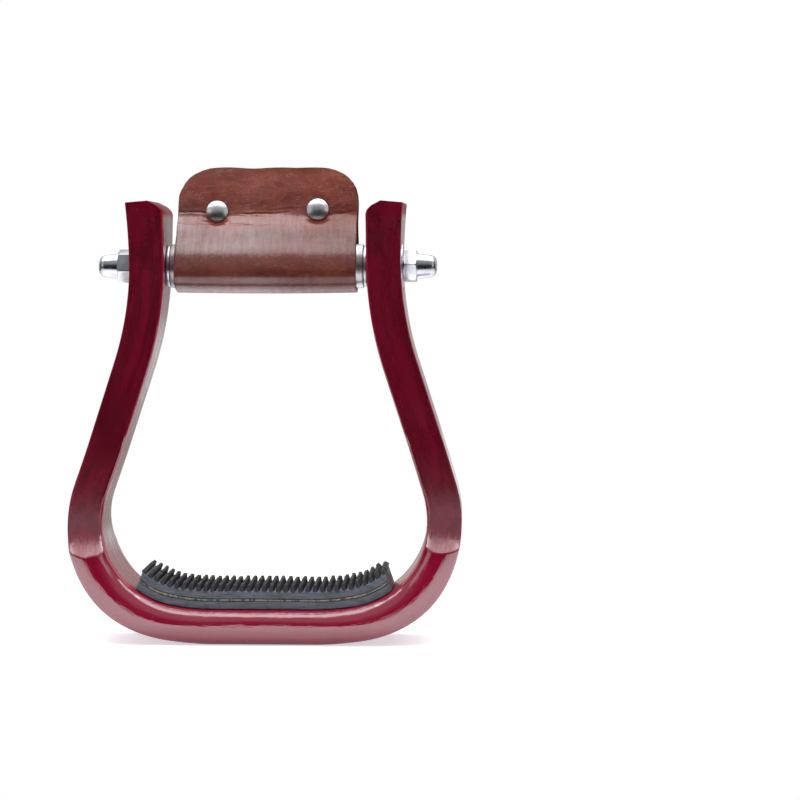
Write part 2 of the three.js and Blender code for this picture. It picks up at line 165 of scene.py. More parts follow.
class Strip:
    def __init__(self, start, heading):
        self.shape = bmesh.new()
        self.start = Vector((start[0], 0, start[1]))
        self.heading = math.radians(heading)
        layers = self.shape.verts.layers.float
        self.along = layers.new("along")
        self.facing = layers.new("facing")
        self.across = layers.new("across")
        self.deep = layers.new("deep")

    # A rectangle with rounded corners, upright on the path. Its straight sides get extra points.
    def section(self, thickness, width, rounding, corner_steps, thickness_cuts, width_cuts):
        shape = self.shape
        made = bmesh.ops.create_grid(shape, x_segments=1, y_segments=1, size=0.5)
        corners = made["verts"]
        bmesh.ops.scale(shape, vec=(thickness, width, 1), verts=corners)
        bmesh.ops.bevel(
            shape, geom=corners, offset=rounding, offset_type="OFFSET", segments=corner_steps,
            profile=0.5, affect="VERTICES", material=-1,
        )
        bmesh.ops.delete(shape, geom=shape.faces[:], context="FACES_ONLY")
        for cuts, size, axis in ((thickness_cuts, thickness, 0), (width_cuts, width, 1)):
            sides = [e for e in shape.edges if abs(e.verts[0].co[axis] - e.verts[1].co[axis]) > size / 2]
            if cuts:
                bmesh.ops.subdivide_edges(shape, edges=sides, cuts=cuts)
        for point in shape.verts:
            point[self.across] = point.co.x
            point[self.deep] = point.co.y
            point[self.facing] = self.heading
        rotate(shape, -90, "Y")
        rotate(shape, -math.degrees(self.heading), "Y")
        bmesh.ops.translate(shape, verts=shape.verts, vec=self.start)
        self.first = shape.edges[:]
        self.edges = self.first
        self.place = self.start.copy()
        self.travelled = 0

    def forward(self):
        return Vector((math.cos(self.heading), 0, math.sin(self.heading)))

    def left(self):
        return outwards(self.heading)

    def note(self, made, moved):
        self.travelled += moved
        self.edges = [part for part in made if isinstance(part, bmesh.types.BMEdge)]
        for edge in self.edges:
            for point in edge.verts:
                point[self.along] = self.travelled
                point[self.facing] = self.heading

    def run(self, length, step):
        count = max(1, round(length / step))
        for _ in range(count):
            made = bmesh.ops.extrude_edge_only(self.shape, edges=self.edges)["geom"]
            points = [part for part in made if isinstance(part, bmesh.types.BMVert)]
            move = self.forward() * length / count
            bmesh.ops.translate(self.shape, verts=points, vec=move)
            self.place += move
            self.note(made, length / count)

    # A bend to the left. A negative radius and turn bend it to the right.
    def bend(self, radius, turn, step):
        count = max(1, math.ceil(abs(turn) / step))
        angle = math.radians(turn) / count
        for _ in range(count):
            centre = self.place + self.left() * radius
            made = bmesh.ops.spin(
                self.shape, geom=self.edges, cent=centre, axis=(0, -1, 0), angle=angle, steps=1,
            )["geom_last"]
            self.heading += angle
            self.place = centre - self.left() * radius
            self.note(made, radius * angle)


# %% [markdown]
# A rounding that was built the same everywhere can be let out or drawn in later. The point keeps its place
# relative to the nearest corner, and the flat between two corners stretches to fit. Two more helpers are
# used all over this file. One goes smoothly from one value to another while something rises between two
# limits, and the other swells up round one place.
# %% Let a rounding out, blend and swell
def eased(place, half, rounding, new_half, low, high):
    if place <= rounding - half:
        return -new_half + (place + half) * low / rounding
    if place >= half - rounding:
        return new_half - (half - place) * high / rounding
    share = (place + half - rounding) / (2 * (half - rounding))
    return -new_half + low + share * (2 * new_half - low - high)


def between(value, low, high, at_low, at_high):
    share = min(1, max(0, (value - low) / (high - low)))
    share = share * share * (3 - 2 * share)
    return at_low + (at_high - at_low) * share


def swell_at(place, middle, spread):
    return math.exp(-((place - middle) / spread) ** 2)


# %% [markdown]
# ## The bow
#
# The bow is one board, 15 mm thick, steamed and bent into a bell. The tread is 53 mm deep and as wide as a
# boot. Above each shoulder the board is hollowed in to a narrow neck and widens again at the top. Half of
# the path is walked here, from the middle of the tread to the top of one arm, and mirrored at the end.
# %% Walk half of the bow
board_thickness = 15
half_board = board_thickness / 2
tread_depth = 53
half_tread = tread_depth / 2
built_rounding = 2.5
tread_flat = 21.626
sweep_radius = 110
sweep_turn = 10
bell_radius = 44.5
slant_length = 54.95
neck_radius = 150
neck_turn = 18
straight_top = 25.24
saw_waste = 2

bow = Strip((0, half_board), 0)
bow.section(board_thickness, tread_depth, built_rounding, 8, 3, 9)
bow.run(tread_flat, 2)
bow.bend(sweep_radius, sweep_turn, 1)
bell_centre = bow.place + bow.left() * bell_radius
bow.bend(bell_radius, 90 + neck_turn - sweep_turn, 1.75)
bow.run(slant_length, 1.6)
bow.bend(-neck_radius, -neck_turn, 0.6)
bow.run(straight_top + saw_waste, 1.6)
print("the arm ends at x", round(bow.place.x, 2), "z", round(bow.place.z, 2), "which is sawn off later")

# %% [markdown]
# ### Roundings that change along the board
#
# A spokeshave and sandpaper leave each edge with its own rounding. Below the shoulders the outer edge is
# fully rounded under the tread and flatter round the corners, and the inner edge is rounded off almost
# to the middle of the board. Each rounding here is a quarter of an ellipse: a width across the board and
# a depth. A bevel operator makes one width, so the built rounding is eased to these widths instead.
# %% Ease the edges across the thickness
below_shoulder = 75


def outer_rounding(along):
    if along < below_shoulder:
        return between(along, 34, 62, 8, 6.5), between(along, 30, 62, 8, 3.4)
    return between(along, 80, 104, 6.5, 5), between(along, 80, 104, 3.4, 2.4)


def inner_rounding(along):
    if along < below_shoulder:
        return between(along, 10, 62, 6, 8), between(along, 10, 62, 5.8, 5.6)
    return between(along, 80, 104, 8, 6.8), between(along, 80, 104, 5.6, 4.2)


for point in bow.shape.verts:
    along = point[bow.along]
    across = point[bow.across]
    outer_width = outer_rounding(along)[0]
    inner_width = inner_rounding(along)[0]
    to = eased(across, half_board, built_rounding, half_board, outer_width, inner_width)
    point.co += outwards(point[bow.facing]) * (to - across)
    point[bow.across] = to
print("eased the roundings of", len(bow.shape.verts), "points")

# %% [markdown]
# ### Shoulder, hollow and neck
#
# Seen from the side the board is as deep as the tread up to the shoulder. There a drum sander has cut in
# and left a hollow that runs up to the neck. The rounded lower part and the hollow are two surfaces, and
# the wood is what lies inside both. So every point moves to the smaller of the two depths. Where they
# meet, a crisp line curves down over the flat of the board and up again over its roundings. Level rows
# of points are sliced in there first, to catch that line.
# %% Slice level rows at the shoulder
shoulder_height = 39
row_gap = 0.35
for step in range(-8, 23):
    bmesh.ops.bisect_plane(
        bow.shape, geom=everything(bow.shape), dist=0.02,
        plane_co=(0, 0, shoulder_height + step * row_gap), plane_no=(0, 0, 1),
    )
print("the half bow has", len(bow.shape.faces), "faces")

# %% [markdown]
# The depth of the hollow is drawn against height, as a template for it would be. Two curves with one pull
# point each give it, one from the shoulder in to the neck and one from the taper out to the top. Between
# them the arm widens in a straight line. A curve like that is found by its share of the way, not by height,
# so the share at a height comes from a quadratic equation.
# %% Depth of the hollow against height
bow_height = 190.6
neck_height = 85
taper_height = 140
neck_half_depth = 11.8
taper_growth = 1.7
taper_half_depth = neck_half_depth + taper_growth
top_half_depth = 20.6
hollow_pull = (13.8, 50)
flare_pull = (14.28, 165.3)
shoulder_slope = 1.15


# Where a curve through first, pull and last, as (half depth, height), is at this height
def depth_on_curve(first, pull, last, height):
    a = first[1] - 2 * pull[1] + last[1]
    b = 2 * (pull[1] - first[1])
    c = first[1] - height
    share = -c / b if abs(a) < 1e-6 else (-b + math.sqrt(b * b - 4 * a * c)) / (2 * a)
    rest = 1 - share
    return first[0] * rest * rest + pull[0] * 2 * rest * share + last[0] * share * share


def hollow_depth(height):
    if height <= shoulder_height:
        return half_tread + shoulder_slope * (shoulder_height - height)
    if height < neck_height:
        neck = (neck_half_depth, neck_height)
        return depth_on_curve((half_tread, shoulder_height), hollow_pull, neck, height)
    if height < taper_height:
        return neck_half_depth + taper_growth * (height - neck_height) / (taper_height - neck_height)
    return depth_on_curve((taper_half_depth, taper_height), flare_pull, (top_half_depth, bow_height), height)


print("half depth at the shoulder, neck and top", [
    round(hollow_depth(height), 1) for height in (shoulder_height, neck_height, bow_height)])

# %% [markdown]
# Now every point can be moved. The roundings are drawn back from the full depth, and the line where the
# two cuts meet is rubbed down a little. Two things are noted for the varnish on the way: how worn an edge
# is, and where the drum sander has left its scratches, on the flat of the hollow just above the shoulder.
# %% Move every point to its depth
outer_arm_edge = 0.7
inner_wear_width = 1.1
side_part = half_tread - built_rounding
edge_wear = bow.shape.verts.layers.float.new("edge_wear")
sanded = bow.shape.verts.layers.float.new("sanded")


def drawn_back(from_side, width, depth):
    if from_side >= width:
        return 0
    share = 1 - from_side / width
    return depth * (1 - math.sqrt(max(0, 1 - share * share)))


# The smaller of two depths, with the line where they meet rubbed down a little
def both_cut(first, second, softness=0.5):
    near = softness - abs(first - second)
    return min(first, second) - (near * near / (4 * softness) if near > 0 else 0)


def board_depth(x, height, across, along):
    from_outer = half_board + across
    from_inner = half_board - across
    lower = half_tread - drawn_back(from_outer, *outer_rounding(along))
    lower -= drawn_back(from_inner, *inner_rounding(along))
    waver = 0.5 * noise.noise(Vector((x * 0.3, across * 0.25, 3.7)))
    upper = hollow_depth(height + waver * between(height, 50, 60, 1, 0))
    inner_arm_edge = between(height, 60, 95, 2.2, 1.1)
    upper -= drawn_back(from_outer, outer_arm_edge, outer_arm_edge)
    upper -= drawn_back(from_inner, inner_arm_edge, inner_arm_edge)
    return both_cut(lower, upper)


def cut_to_depth(point, shoulder_shift):
    deep = point[bow.deep]
    across = point[bow.across]
    height = point.co.z - shoulder_shift * between(point.co.z, 50, 70, 1, 0)
    depth = board_depth(point.co.x, height, across, point[bow.along])
    if abs(deep) <= side_part + 0.001:
        point.co.y = depth * deep / side_part
    else:
        point.co.y = math.copysign(depth, deep)
    on_corner = abs(deep) > side_part - 0.1
    inner_wear = max(0, 1 - (half_board - across) / inner_wear_width)
    outer_wear = 0.5 * max(0, 1 - (half_board + across) / outer_arm_edge)
    point[edge_wear] = max(inner_wear, outer_wear) if on_corner else 0
    in_hollow = hollow_depth(height) < half_tread - 0.1 and on_corner
    in_middle = between(abs(across), 4.2, 6.8, 1, 0)
    point[sanded] = between(height, 42, 53, 1, 0) * in_middle if in_hollow else 0


for point in bow.shape.verts:
    cut_to_depth(point, 0)
print("sanded points:", sum(1 for point in bow.shape.verts if point[sanded] > 0))

# %% [markdown]
# ### A board bent by hand
#
# Three things in the photograph show handwork. The outside of each lower corner is a millimetre fuller
# than a true arc. The shoulder is cut a little higher on the right arm than on the left. And the tread is
# turned slightly against the arms, so that its rear edge stands a little to the left. The first is done
# here, to both arms at once. The other two wait until the board is whole.
# %% Fill out the corners
corner_middle = 70
corner_spread = 17
corner_fullness = 1.1
tread_turn = 1.3
for point in bow.shape.verts:
    share = (half_board - point[bow.across]) / board_thickness
    fuller = corner_fullness * share * swell_at(point[bow.along], corner_middle, corner_spread)
    point.co -= outwards(point[bow.facing]) * fuller
print("the half bow reaches x", round(max(point.co.x for point in bow.shape.verts), 2))


def turn_tread(points):
    for point in points:
        share = (point.co.y + half_tread) / tread_depth
        point.co.x -= tread_turn * share * between(point.co.z, 50, 85, 1, 0)


# %% [markdown]
# ### The tops of the arms
#
# Above the bolt the outer face flares out by about a millimetre. The top is then cut like a joiner cuts
# it: one slightly crowned saw cut, and three planes that round it down to the inner face.
# %% Flare and cut the tops
bolt_height = 162.6
inner_face = 43.5
flare_out = 1.1
for point in bow.shape.verts:
    if point.co.z > bolt_height:
        share = (point.co.z - bolt_height) / (bow_height - bolt_height)
        side = (point.co.x - inner_face) / board_thickness
        point.co.x += flare_out * share * share * side

top_line = [(60, 189.75), (50, bow_height), (45.94, 188.46), (44.2, 186.7), (43.4, 184.7)]
for (x1, z1), (x2, z2) in zip(top_line, top_line[1:]):
    saw_off(bow.shape, parts_above(bow.shape, 175), (x1, 0, z1), (z2 - z1, 0, x1 - x2))
print("top of the arms at z", round(max(p.co.z for p in bow.shape.verts), 2))

# %% [markdown]
# A saw leaves edges that would cut a hand, so they are broken with a touch of sandpaper. The crisp ones are
# found by the angle between their two faces.
# %% Break the edges of the tops
crisp = [
    edge for edge in bow.shape.edges
    if edge.is_manifold and min(p.co.z for p in edge.verts) > 184 and edge.calc_face_angle(0) > 0.45
]
bevel_edges(bow.shape, crisp, 0.35)
print("broke", len(crisp), "edges at the top")

# %% [markdown]
# ### Both halves, and where the grain runs
#
# After mirroring, the shoulders are cut once more, each at its own height, and the tread is turned. A UV
# map called grain holds the distance along the board and the place across its thickness, in metres. With
# the object's own Y it makes a straight board of the bent one, so the grain in the material follows the
# bend as the fibres of a steamed board do.
# %% Mirror the bow and lay out the grain
right_shoulder_shift = 1.6
left_shoulder_shift = -0.9
mirror_in_x(bow.shape)
for point in bow.shape.verts:
    if 30 < point.co.z < 75:
        cut_to_depth(point, right_shoulder_shift if point.co.x > 0 else left_shoulder_shift)
turn_tread(bow.shape.verts)
grain = bow.shape.loops.layers.uv.new("grain")
for face in bow.shape.faces:
    for corner in face.loops:
        point = corner.vert
        side = 1 if point.co.x >= 0 else -1
        corner[grain].uv = (side * point[bow.along] * millimetre, point[bow.across] * millimetre)
bow_piece = finish_piece("bow_board", bow.shape, "bow_body", ["bow"], sharp=30)

# %% [markdown]
# ### Turned shapes
#
# Nuts, washers, roller, bushes and rivets are turned on a lathe. The same is done here: a few points draw
# half of the outline, and a full spin turns it. Each piece is turned about the X axis, in the place that it
# has at the right end of the bolt, and a negative scale makes its twin for the left end.
# %% Turn an outline on the lathe
def turned(outline, steps=64):
    shape = bmesh.new()
    points = [shape.verts.new((along, 0, radius)) for radius, along in outline]
    for first, second in zip(points, points[1:]):
        shape.edges.new((first, second))
    bmesh.ops.spin(
        shape, geom=shape.verts[:] + shape.edges[:], cent=(0, 0, 0), axis=(1, 0, 0),
        angle=2 * math.pi, steps=steps, use_merge=True,
    )
    bmesh.ops.remove_doubles(shape, verts=shape.verts, dist=0.001)
    bmesh.ops.recalc_face_normals(shape, faces=shape.faces)
    return shape


def break_edges(shape, width, above=40):
    sharp = [e for e in shape.edges if e.is_manifold and e.calc_face_angle(0) > math.radians(above)]
    bevel_edges(shape, sharp, width)


def move_to_bolt(shape, side=1, turn=0):
    rotate(shape, turn, "X")
    if side < 0:
        bmesh.ops.scale(shape, vec=(-1, 1, 1), verts=shape.verts)
    bmesh.ops.translate(shape, verts=shape.verts, vec=(0, 0, bolt_height))


# %% [markdown]
# ### Bolt holes
#
# Each arm has a hole for the bolt and, outside, a shallow seat that the washer is let into. A stepped
# cutter is turned and taken out of the board with a boolean, as a drill with a counterbore would.
# %% Drill the arms
arm_outside = 58.64
washer_face = arm_outside + 0.2
washer_thickness = 1.2
seat_gap = 0.3
seat_floor = washer_face - washer_thickness - seat_gap
hole_radius = 4.3
seat_radius = 10.3
cutter_start = 38
cutter_end = 64

for side in (-1, 1):
    cutter_shape = turned([
        (0, cutter_start), (hole_radius, cutter_start), (hole_radius, seat_floor),
        (seat_radius, seat_floor), (seat_radius, cutter_end), (0, cutter_end),
    ])
    move_to_bolt(cutter_shape, side)
    bmesh.ops.recalc_face_normals(cutter_shape, faces=cutter_shape.faces)
    bmesh.ops.scale(cutter_shape, vec=(millimetre,) * 3, verts=cutter_shape.verts)
    cutter = as_object("cutter", cutter_shape)
    drill = bow_piece.modifiers.new("drill", "BOOLEAN")
    drill.object = cutter
    drill.operation = "DIFFERENCE"
    drill.solver = "EXACT"
    bpy.context.view_layer.update()
    drilled = bpy.data.meshes.new_from_object(bow_piece.evaluated_get(bpy.context.evaluated_depsgraph_get()))
    bow_piece.modifiers.remove(drill)
    bow_piece.data = drilled
    bpy.data.objects.remove(cutter)
bow_piece.data.set_sharp_from_angle(angle=math.radians(30))
print("the drilled bow has", len(bow_piece.data.polygons), "faces")

# %% [markdown]
# ## Metal on the bolt
#
# Outside each arm lies a flat washer and an acorn nut of 13 mm across flats. A real hexagon nut is a
# turned bar with six flats cut on it, which leaves the curved edges where flats and chamfer meet. So it
# is turned first and cut by six planes here too, and its dome is turned on afterwards. Each nut stopped
# where it was tight, so each has its own turn.
# %% Cut the nuts
across_flats = 13
nut_corner_radius = across_flats / 2 / math.cos(math.radians(30)) + 0.05
nut_face_radius = 6.35
nut_bore_radius = 4.2
hex_length = 5.8
nut_seat = washer_face + seat_gap
nut_chamfer = 0.62
dome_base = 5.5
dome_end = 4.8
end_rounding = 3.2
nut_length = 14.4
nut_turns = (("left", -1, 47), ("right", 1, 24))


def nut_shape():
    shape = turned([
        (nut_bore_radius, 0), (nut_face_radius, 0), (nut_corner_radius, nut_chamfer),
        (nut_corner_radius, hex_length - nut_chamfer), (nut_face_radius, hex_length), (0, hex_length),
    ], steps=96)
    for flat in range(6):
        angle = math.radians(60 * flat)
        out = Vector((0, math.cos(angle), math.sin(angle)))
        saw_off(shape, everything(shape), out * across_flats / 2, out)
    break_edges(shape, 0.16, above=18)
    outline = [(nut_bore_radius, 0.4), (dome_base, hex_length - 0.4), (dome_base, hex_length + 0.5)]
    for angle in range(0, 91, 10):
        turn = math.radians(angle)
        outline.append((
            dome_end - end_rounding * (1 - math.cos(turn)),
            nut_length - end_rounding * (1 - math.sin(turn)),
        ))
    outline.append((0, nut_length))
    dome = turned(outline)
    joined = bpy.data.meshes.new("dome")
    dome.to_mesh(joined)
    dome.free()
    shape.from_mesh(joined)
    bpy.data.meshes.remove(joined)
    return shape


for name, side, turn in nut_turns:
    nut = nut_shape()
    bmesh.ops.translate(nut, verts=nut.verts, vec=(nut_seat, 0, 0))
    move_to_bolt(nut, side, turn)
    finish_piece("acorn_nut_" + name, nut, "bow_body", ["cap_nut_" + name], sharp=30)

# %% [markdown]
# ### Washers, roller and bushes
#
# These are plain rings with broken edges. The roller is a drawn tube, and the flanged bush in each of its
# ends centres it on the bolt.
# %% Turn the rings
washer_radius = 10
roller_radius = 9.5
roller_bore = 7.7
roller_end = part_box("roller_tube")[1].x / millimetre
bush_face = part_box("roller_bush_right")[1].x / millimetre
bush_length = 10.4
bush_end = bush_face - bush_length
bush_radius = roller_bore - 0.2
flange_radius = 9
flange_thickness = 1.1
flange_back = bush_face - flange_thickness


def ring(outer, inner, start, end, edge):
    shape = turned([(inner, start), (outer, start), (outer, end), (inner, end), (inner, start)])
    break_edges(shape, edge)
    return shape


for name, side in (("left", -1), ("right", 1)):
    washer = ring(washer_radius, hole_radius, washer_face - washer_thickness, washer_face, 0.25)
    move_to_bolt(washer, side)
    finish_piece("washer_" + name, washer, "bow_body", ["outer_washer_" + name])
    bush = turned([
        (hole_radius, bush_end), (bush_radius, bush_end), (bush_radius, flange_back),
        (flange_radius, flange_back), (flange_radius, bush_face), (hole_radius, bush_face),
        (hole_radius, bush_end),
    ])
    break_edges(bush, 0.18)
    move_to_bolt(bush, side)
    finish_piece("bush_" + name, bush, "roller_body", ["roller_bush_" + name])

roller = ring(roller_radius, roller_bore, -roller_end, roller_end, 0.35)
move_to_bolt(roller)
finish_piece("roller", roller, "roller_body", ["roller_tube"])

# %% [markdown]
# ## The rubber pad
#
# The pad is a piece of ribbed belting: rubber, a fabric ply and rubber again, with rows of blunt nubs on
# top. Its layers bend with the board. Each end was cut with one stroke of a knife, more upright than square
# to the bend, so the layers are carried a little too far and cut off by one plane. Cut rubber is never
# quite straight, so each layer's sides waver a little once the section has been carried along.
# %% Carry the pad's layers along the board
pad_depth = 41
pad_bottom = 15.3
top_face = 23.0
pad_bend = 36
pad_end_turn = 37
pad_end_lean = 0.3
pad_layers = {
    "pad_base": (pad_bottom, 18.6, "tread_rubber", "tread_base"),
    "pad_ply": (18.75, 19.65, "belt_fabric", "tread_fabric_ply"),
    "pad_top": (19.8, top_face, "tread_rubber", "tread_top"),
}
end_turn = math.radians(pad_end_turn)
end_reach = bell_radius + half_board - pad_bottom
pad_end = bell_centre + Vector((math.sin(end_turn), 0, -math.cos(end_turn))) * end_reach
pad_end_facing = Vector((math.cos(end_turn - pad_end_lean), 0, math.sin(end_turn - pad_end_lean)))


def pad_layer(low, high):
    thickness = high - low
    middle = (low + high) / 2
    inwards = middle - half_board
    strip = Strip((0, middle), 0)
    strip.section(thickness, pad_depth - 0.5, min(0.35, thickness / 3), 2, 1, 16)
    strip.run(tread_flat, 1.2)
    strip.bend(sweep_radius - inwards, sweep_turn, 0.8)
    strip.bend(bell_radius - inwards, pad_bend, 1.2)
    saw_off(strip.shape, everything(strip.shape), pad_end, pad_end_facing)
    end = [edge for face in strip.shape.faces if len(face.verts) > 12 for edge in face.edges]
    bevel_edges(strip.shape, end, min(0.3, thickness / 4))
    mirror_in_x(strip.shape)
    for point in strip.shape.verts:
        waver = noise.noise(Vector((point.co.x * 0.09, middle, 0)))
        waver += 0.4 * noise.noise(Vector((point.co.x * 0.6, middle, 5)))
        side = point.co.y / (pad_depth / 2)
        point.co.y += side * (0.3 * waver - 0.15)
    strip.shape.verts.layers.float.new("nub")
    level = strip.shape.verts.layers.float.new("level")
    for point in strip.shape.verts:
        point[level] = point[strip.across]
    return strip.shape


pad_shapes = {name: pad_layer(*layer[:2]) for name, layer in pad_layers.items()}
print("the pad's layers have", [len(shape.faces) for shape in pad_shapes.values()], "faces")

# %% [markdown]
# ### Nubs
#
# There are more than four hundred nubs, so one is shaped with few faces and copied. It is a blunt cone
# that reaches a little into the rubber, with a soft rim at its tip.
# %% Shape one nub
nub_height = 3
nub_pitch = 3.15
nub_sink = 0.4

nub = bmesh.new()
bmesh.ops.create_cone(nub, cap_ends=True, segments=8, radius1=1.28, radius2=0.7, depth=nub_height + nub_sink)
bmesh.ops.translate(nub, verts=nub.verts, vec=(0, 0, (nub_height - nub_sink) / 2))
upright = [edge for edge in nub.edges if abs(edge.verts[0].co.z - edge.verts[1].co.z) > 1]
bmesh.ops.subdivide_edges(nub, edges=upright, cuts=2)
tip_rim = [edge for edge in nub.edges if min(point.co.z for point in edge.verts) > nub_height - 0.1]
bmesh.ops.bevel(
    nub, geom=tip_rim, offset=0.22, offset_type="OFFSET", segments=1, profile=0.5, affect="EDGES",
    material=-1,
)
bmesh.ops.recalc_face_normals(nub, faces=nub.faces)
nub_mesh = bpy.data.meshes.new("nub")
nub.to_mesh(nub_mesh)
print("one nub has", len(nub.faces), "faces")
nub.free()

# %% [markdown]
# The nubs stand at equal steps along the pad's top face. That face runs flat, then round two bends, so the
# place and the slope at a distance are walked in the same way as the strip was.
#
# Moulded nubs come out ragged. Each copy gets its own small turn, lean and height, from a vector noise that
# Blender starts anew on every run, and the outermost ones are cut short with the pad's end.
# %% Copy the nub over the pad
columns = 17
rows = 6
cut_short = 0.6


def surface_place(distance):
    inwards = top_face - half_board
    used = min(distance, tread_flat)
    place = Vector((used, 0, top_face))
    heading = 0.0
    distance -= used
    for radius, turn in ((sweep_radius - inwards, sweep_turn), (bell_radius - inwards, pad_bend)):
        used = min(distance, radius * math.radians(turn))
        centre = place + outwards(heading) * radius
        heading += used / radius
        place = centre - outwards(heading) * radius
        distance -= used
    return place, heading


def make_ragged(points, seed, shortened):
    shift = noise.noise_vector(seed)
    for point in points:
        rough = noise.noise_vector(point.co * 1.9 + seed * 3.1)
        rising = max(0, point.co.z) / nub_height
        point.co += Vector((rough.x, rough.y, 0)) * 0.22
        point.co += Vector((shift.x, shift.y, 0)) * 0.4 * rising
        point.co.z -= rising * max(0, shift.z) * 0.9 + rising * max(0, rough.z) * 0.3
        if shortened:
            point.co.z *= cut_short
    return Matrix.Rotation(shift.x * 3, 3, "Z")


nubs = bmesh.new()
for column in range(-columns, columns + 1):
    side = -1 if column < 0 else 1
    place, heading = surface_place(abs(column) * nub_pitch)
    for row in range(-rows, rows + 1):
        start = len(nubs.verts)
        nubs.from_mesh(nub_mesh)
        nubs.verts.ensure_lookup_table()
        points = nubs.verts[start:]
        twist = make_ragged(points, Vector((column * 1.7, row * 2.3, 0.5)), abs(column) == columns)
        turn = Matrix.Rotation(-side * heading, 3, "Y") @ twist
        bmesh.ops.rotate(nubs, verts=points, cent=(0, 0, 0), matrix=turn)
        bmesh.ops.translate(nubs, verts=points, vec=(side * place.x, row * nub_pitch, place.z))
is_nub = nubs.verts.layers.float.new("nub")
for point in nubs.verts:
    point[is_nub] = 1
nubs.to_mesh(nub_mesh)
nubs.free()
pad_shapes["pad_top"].from_mesh(nub_mesh)
bpy.data.meshes.remove(nub_mesh)
print("the pad has", (2 * columns + 1) * (2 * rows + 1), "nubs")

# %% [markdown]
# The pad is glued to the tread, so it takes the same slight turn before its layers are finished.
# %% Finish the pad
for name, shape in pad_shapes.items():
    slot, node = pad_layers[name][2:]
    turn_tread(shape.verts)
    finish_piece(name, shape, "bow_body", [node], sharp=50)

# %% [markdown]
# ## The leather wrap
#
# One strap of leather goes down behind, round the roller and up again in front. Behind, the wrap's circle
# runs into the upright layer through a bend the other way. In front it leaves the roller on a straight
# slope and bends upright under the rivets. How steep that slope has to be is found by halving, again and
# again, the range between a slope that is too flat and one that is too steep.
# %% Find the slope in front
leather_thickness = 1.6
leather_width = 78.4
leather_height = 44.6
fold_rise = 25.2
front_bend = 8
wrap_radius = roller_radius + seat_gap + leather_thickness / 2
rear_layer = 5.1
front_layer = 3.3

rear_bend = (rear_layer ** 2 + fold_rise ** 2 - wrap_radius ** 2) / (2 * (wrap_radius - rear_layer))
rear_tangent = math.degrees(math.atan2(fold_rise, rear_layer + rear_bend))


def slope_misses(angle):
    reach = wrap_radius + front_bend
    return reach - (front_bend - front_layer) * math.cos(angle) - fold_rise * math.sin(angle)


slope, steepest = math.radians(10), math.radians(60)
for _ in range(40):
    half = (slope + steepest) / 2
    if slope_misses(half) > 0:
        slope = half
    else:
        steepest = half
slope_length = ((wrap_radius + front_bend) * math.cos(slope) - (front_bend - front_layer)) / math.sin(slope)
print("the slope leans", round(math.degrees(slope), 1), "degrees and is", round(slope_length, 1), "mm long")

# %% [markdown]
# The section is carried along that path, in a frame on the bolt's axis. The strap is far thinner than it
# is wide, so it gets many points across its width, and short steps near the bend, which its creases need.
# %% Walk the leather round the roller
upright_length = leather_height - fold_rise
fine_below_bend = 9
fine_above_bend = 3

leather = Strip((rear_layer, leather_height), -90)
leather.section(leather_thickness, leather_width, 0.5, 3, 0, 70)
leather.run(upright_length, 1)
leather.bend(rear_bend, rear_tangent, 2.5)
leather.bend(-wrap_radius, -180 - rear_tangent - math.degrees(slope), 5)
leather.run(slope_length - fine_below_bend, 0.9)
leather.run(fine_below_bend, 0.3)
leather.bend(front_bend, math.degrees(slope), 2)
leather.run(fine_above_bend, 0.3)
leather.run(upright_length - fine_above_bend, 1)
for ring_edges in (leather.first, leather.edges):
    bmesh.ops.edgeloop_fill(leather.shape, edges=ring_edges)
strap_length = leather.travelled
fold_middle = strap_length / 2
front_start = strap_length - upright_length
print("the strap is", round(strap_length, 1), "mm long, and ends at", leather.place)

# %% [markdown]
# ### Cut corners
#
# Both layers were trimmed together. The left corner was cut rounder than the right one. A round corner is
# cut as a row of short straight cuts, each of which takes off what lies outside it.
# %% Trim the corners of the flap
left_corner = 17
right_corner = 15.5
cuts = 8
cut_inside = 0.998
for side, radius in ((1, left_corner), (-1, right_corner)):
    centre = Vector((0, side * (leather_width / 2 - radius), leather_height - radius))
    for step in range(cuts):
        angle = math.radians(90 * (step + 0.5) / cuts)
        out = Vector((0, side * math.cos(angle), math.sin(angle)))
        place = centre + out * radius * cut_inside
        saw_off(leather.shape, parts_above(leather.shape, 22), place, out, fill=bmesh.ops.holes_fill)
print("trimmed leather has", len(leather.shape.faces), "faces")

# %% [markdown]
# ### Creases
#
# Where the leather turns from the flap into the wrap it has crept and creased. Each crease is a shallow
# valley that runs across the strap from one side and fades out.
# %% Draw the creases
creases = (
    # how far above the bend, place and reach across, depth, half width, slant
    (-0.9, 30, 13, 0.5, 0.45, 0.03),
    (-1.7, 6, 18, 0.36, 0.5, -0.03),
    (-3.0, 12, 12, 0.18, 0.45, 0.05),
    (-7.8, 29, 14, 0.32, 0.5, 0.01),
    (-8.6, 6, 17, 0.26, 0.5, 0.05),
    (-10.2, 20, 12, 0.16, 0.5, 0.07),
    (0.4, -8, 9, 0.2, 0.5, -0.1),
    (-1.6, -30, 10, 0.18, 0.7, -0.08),
)


def crease_depth(along, across):
    sunk = 0
    for above, middle, reach, depth, width, slant in creases:
        waver = 0.9 * noise.noise(Vector((across * 0.14, above * 3, 1)))
        waver += 0.3 * noise.noise(Vector((across * 0.6, above * 5, 4)))
        line = front_start + above + slant * (across - middle) + waver
        off = (along - line) / width
        fade = max(0, 1 - ((across - middle) / reach) ** 2)
        ragged = 0.6 + 0.8 * noise.noise(Vector((across * 0.35, above, 8)))
        sunk += depth * fade * max(0, ragged) * (math.exp(-off * off) - 0.45 * math.exp(-((off - 1.7) ** 2)))
    return sunk


print("the deepest of", len(creases), "creases is", max(crease[3] for crease in creases), "mm")

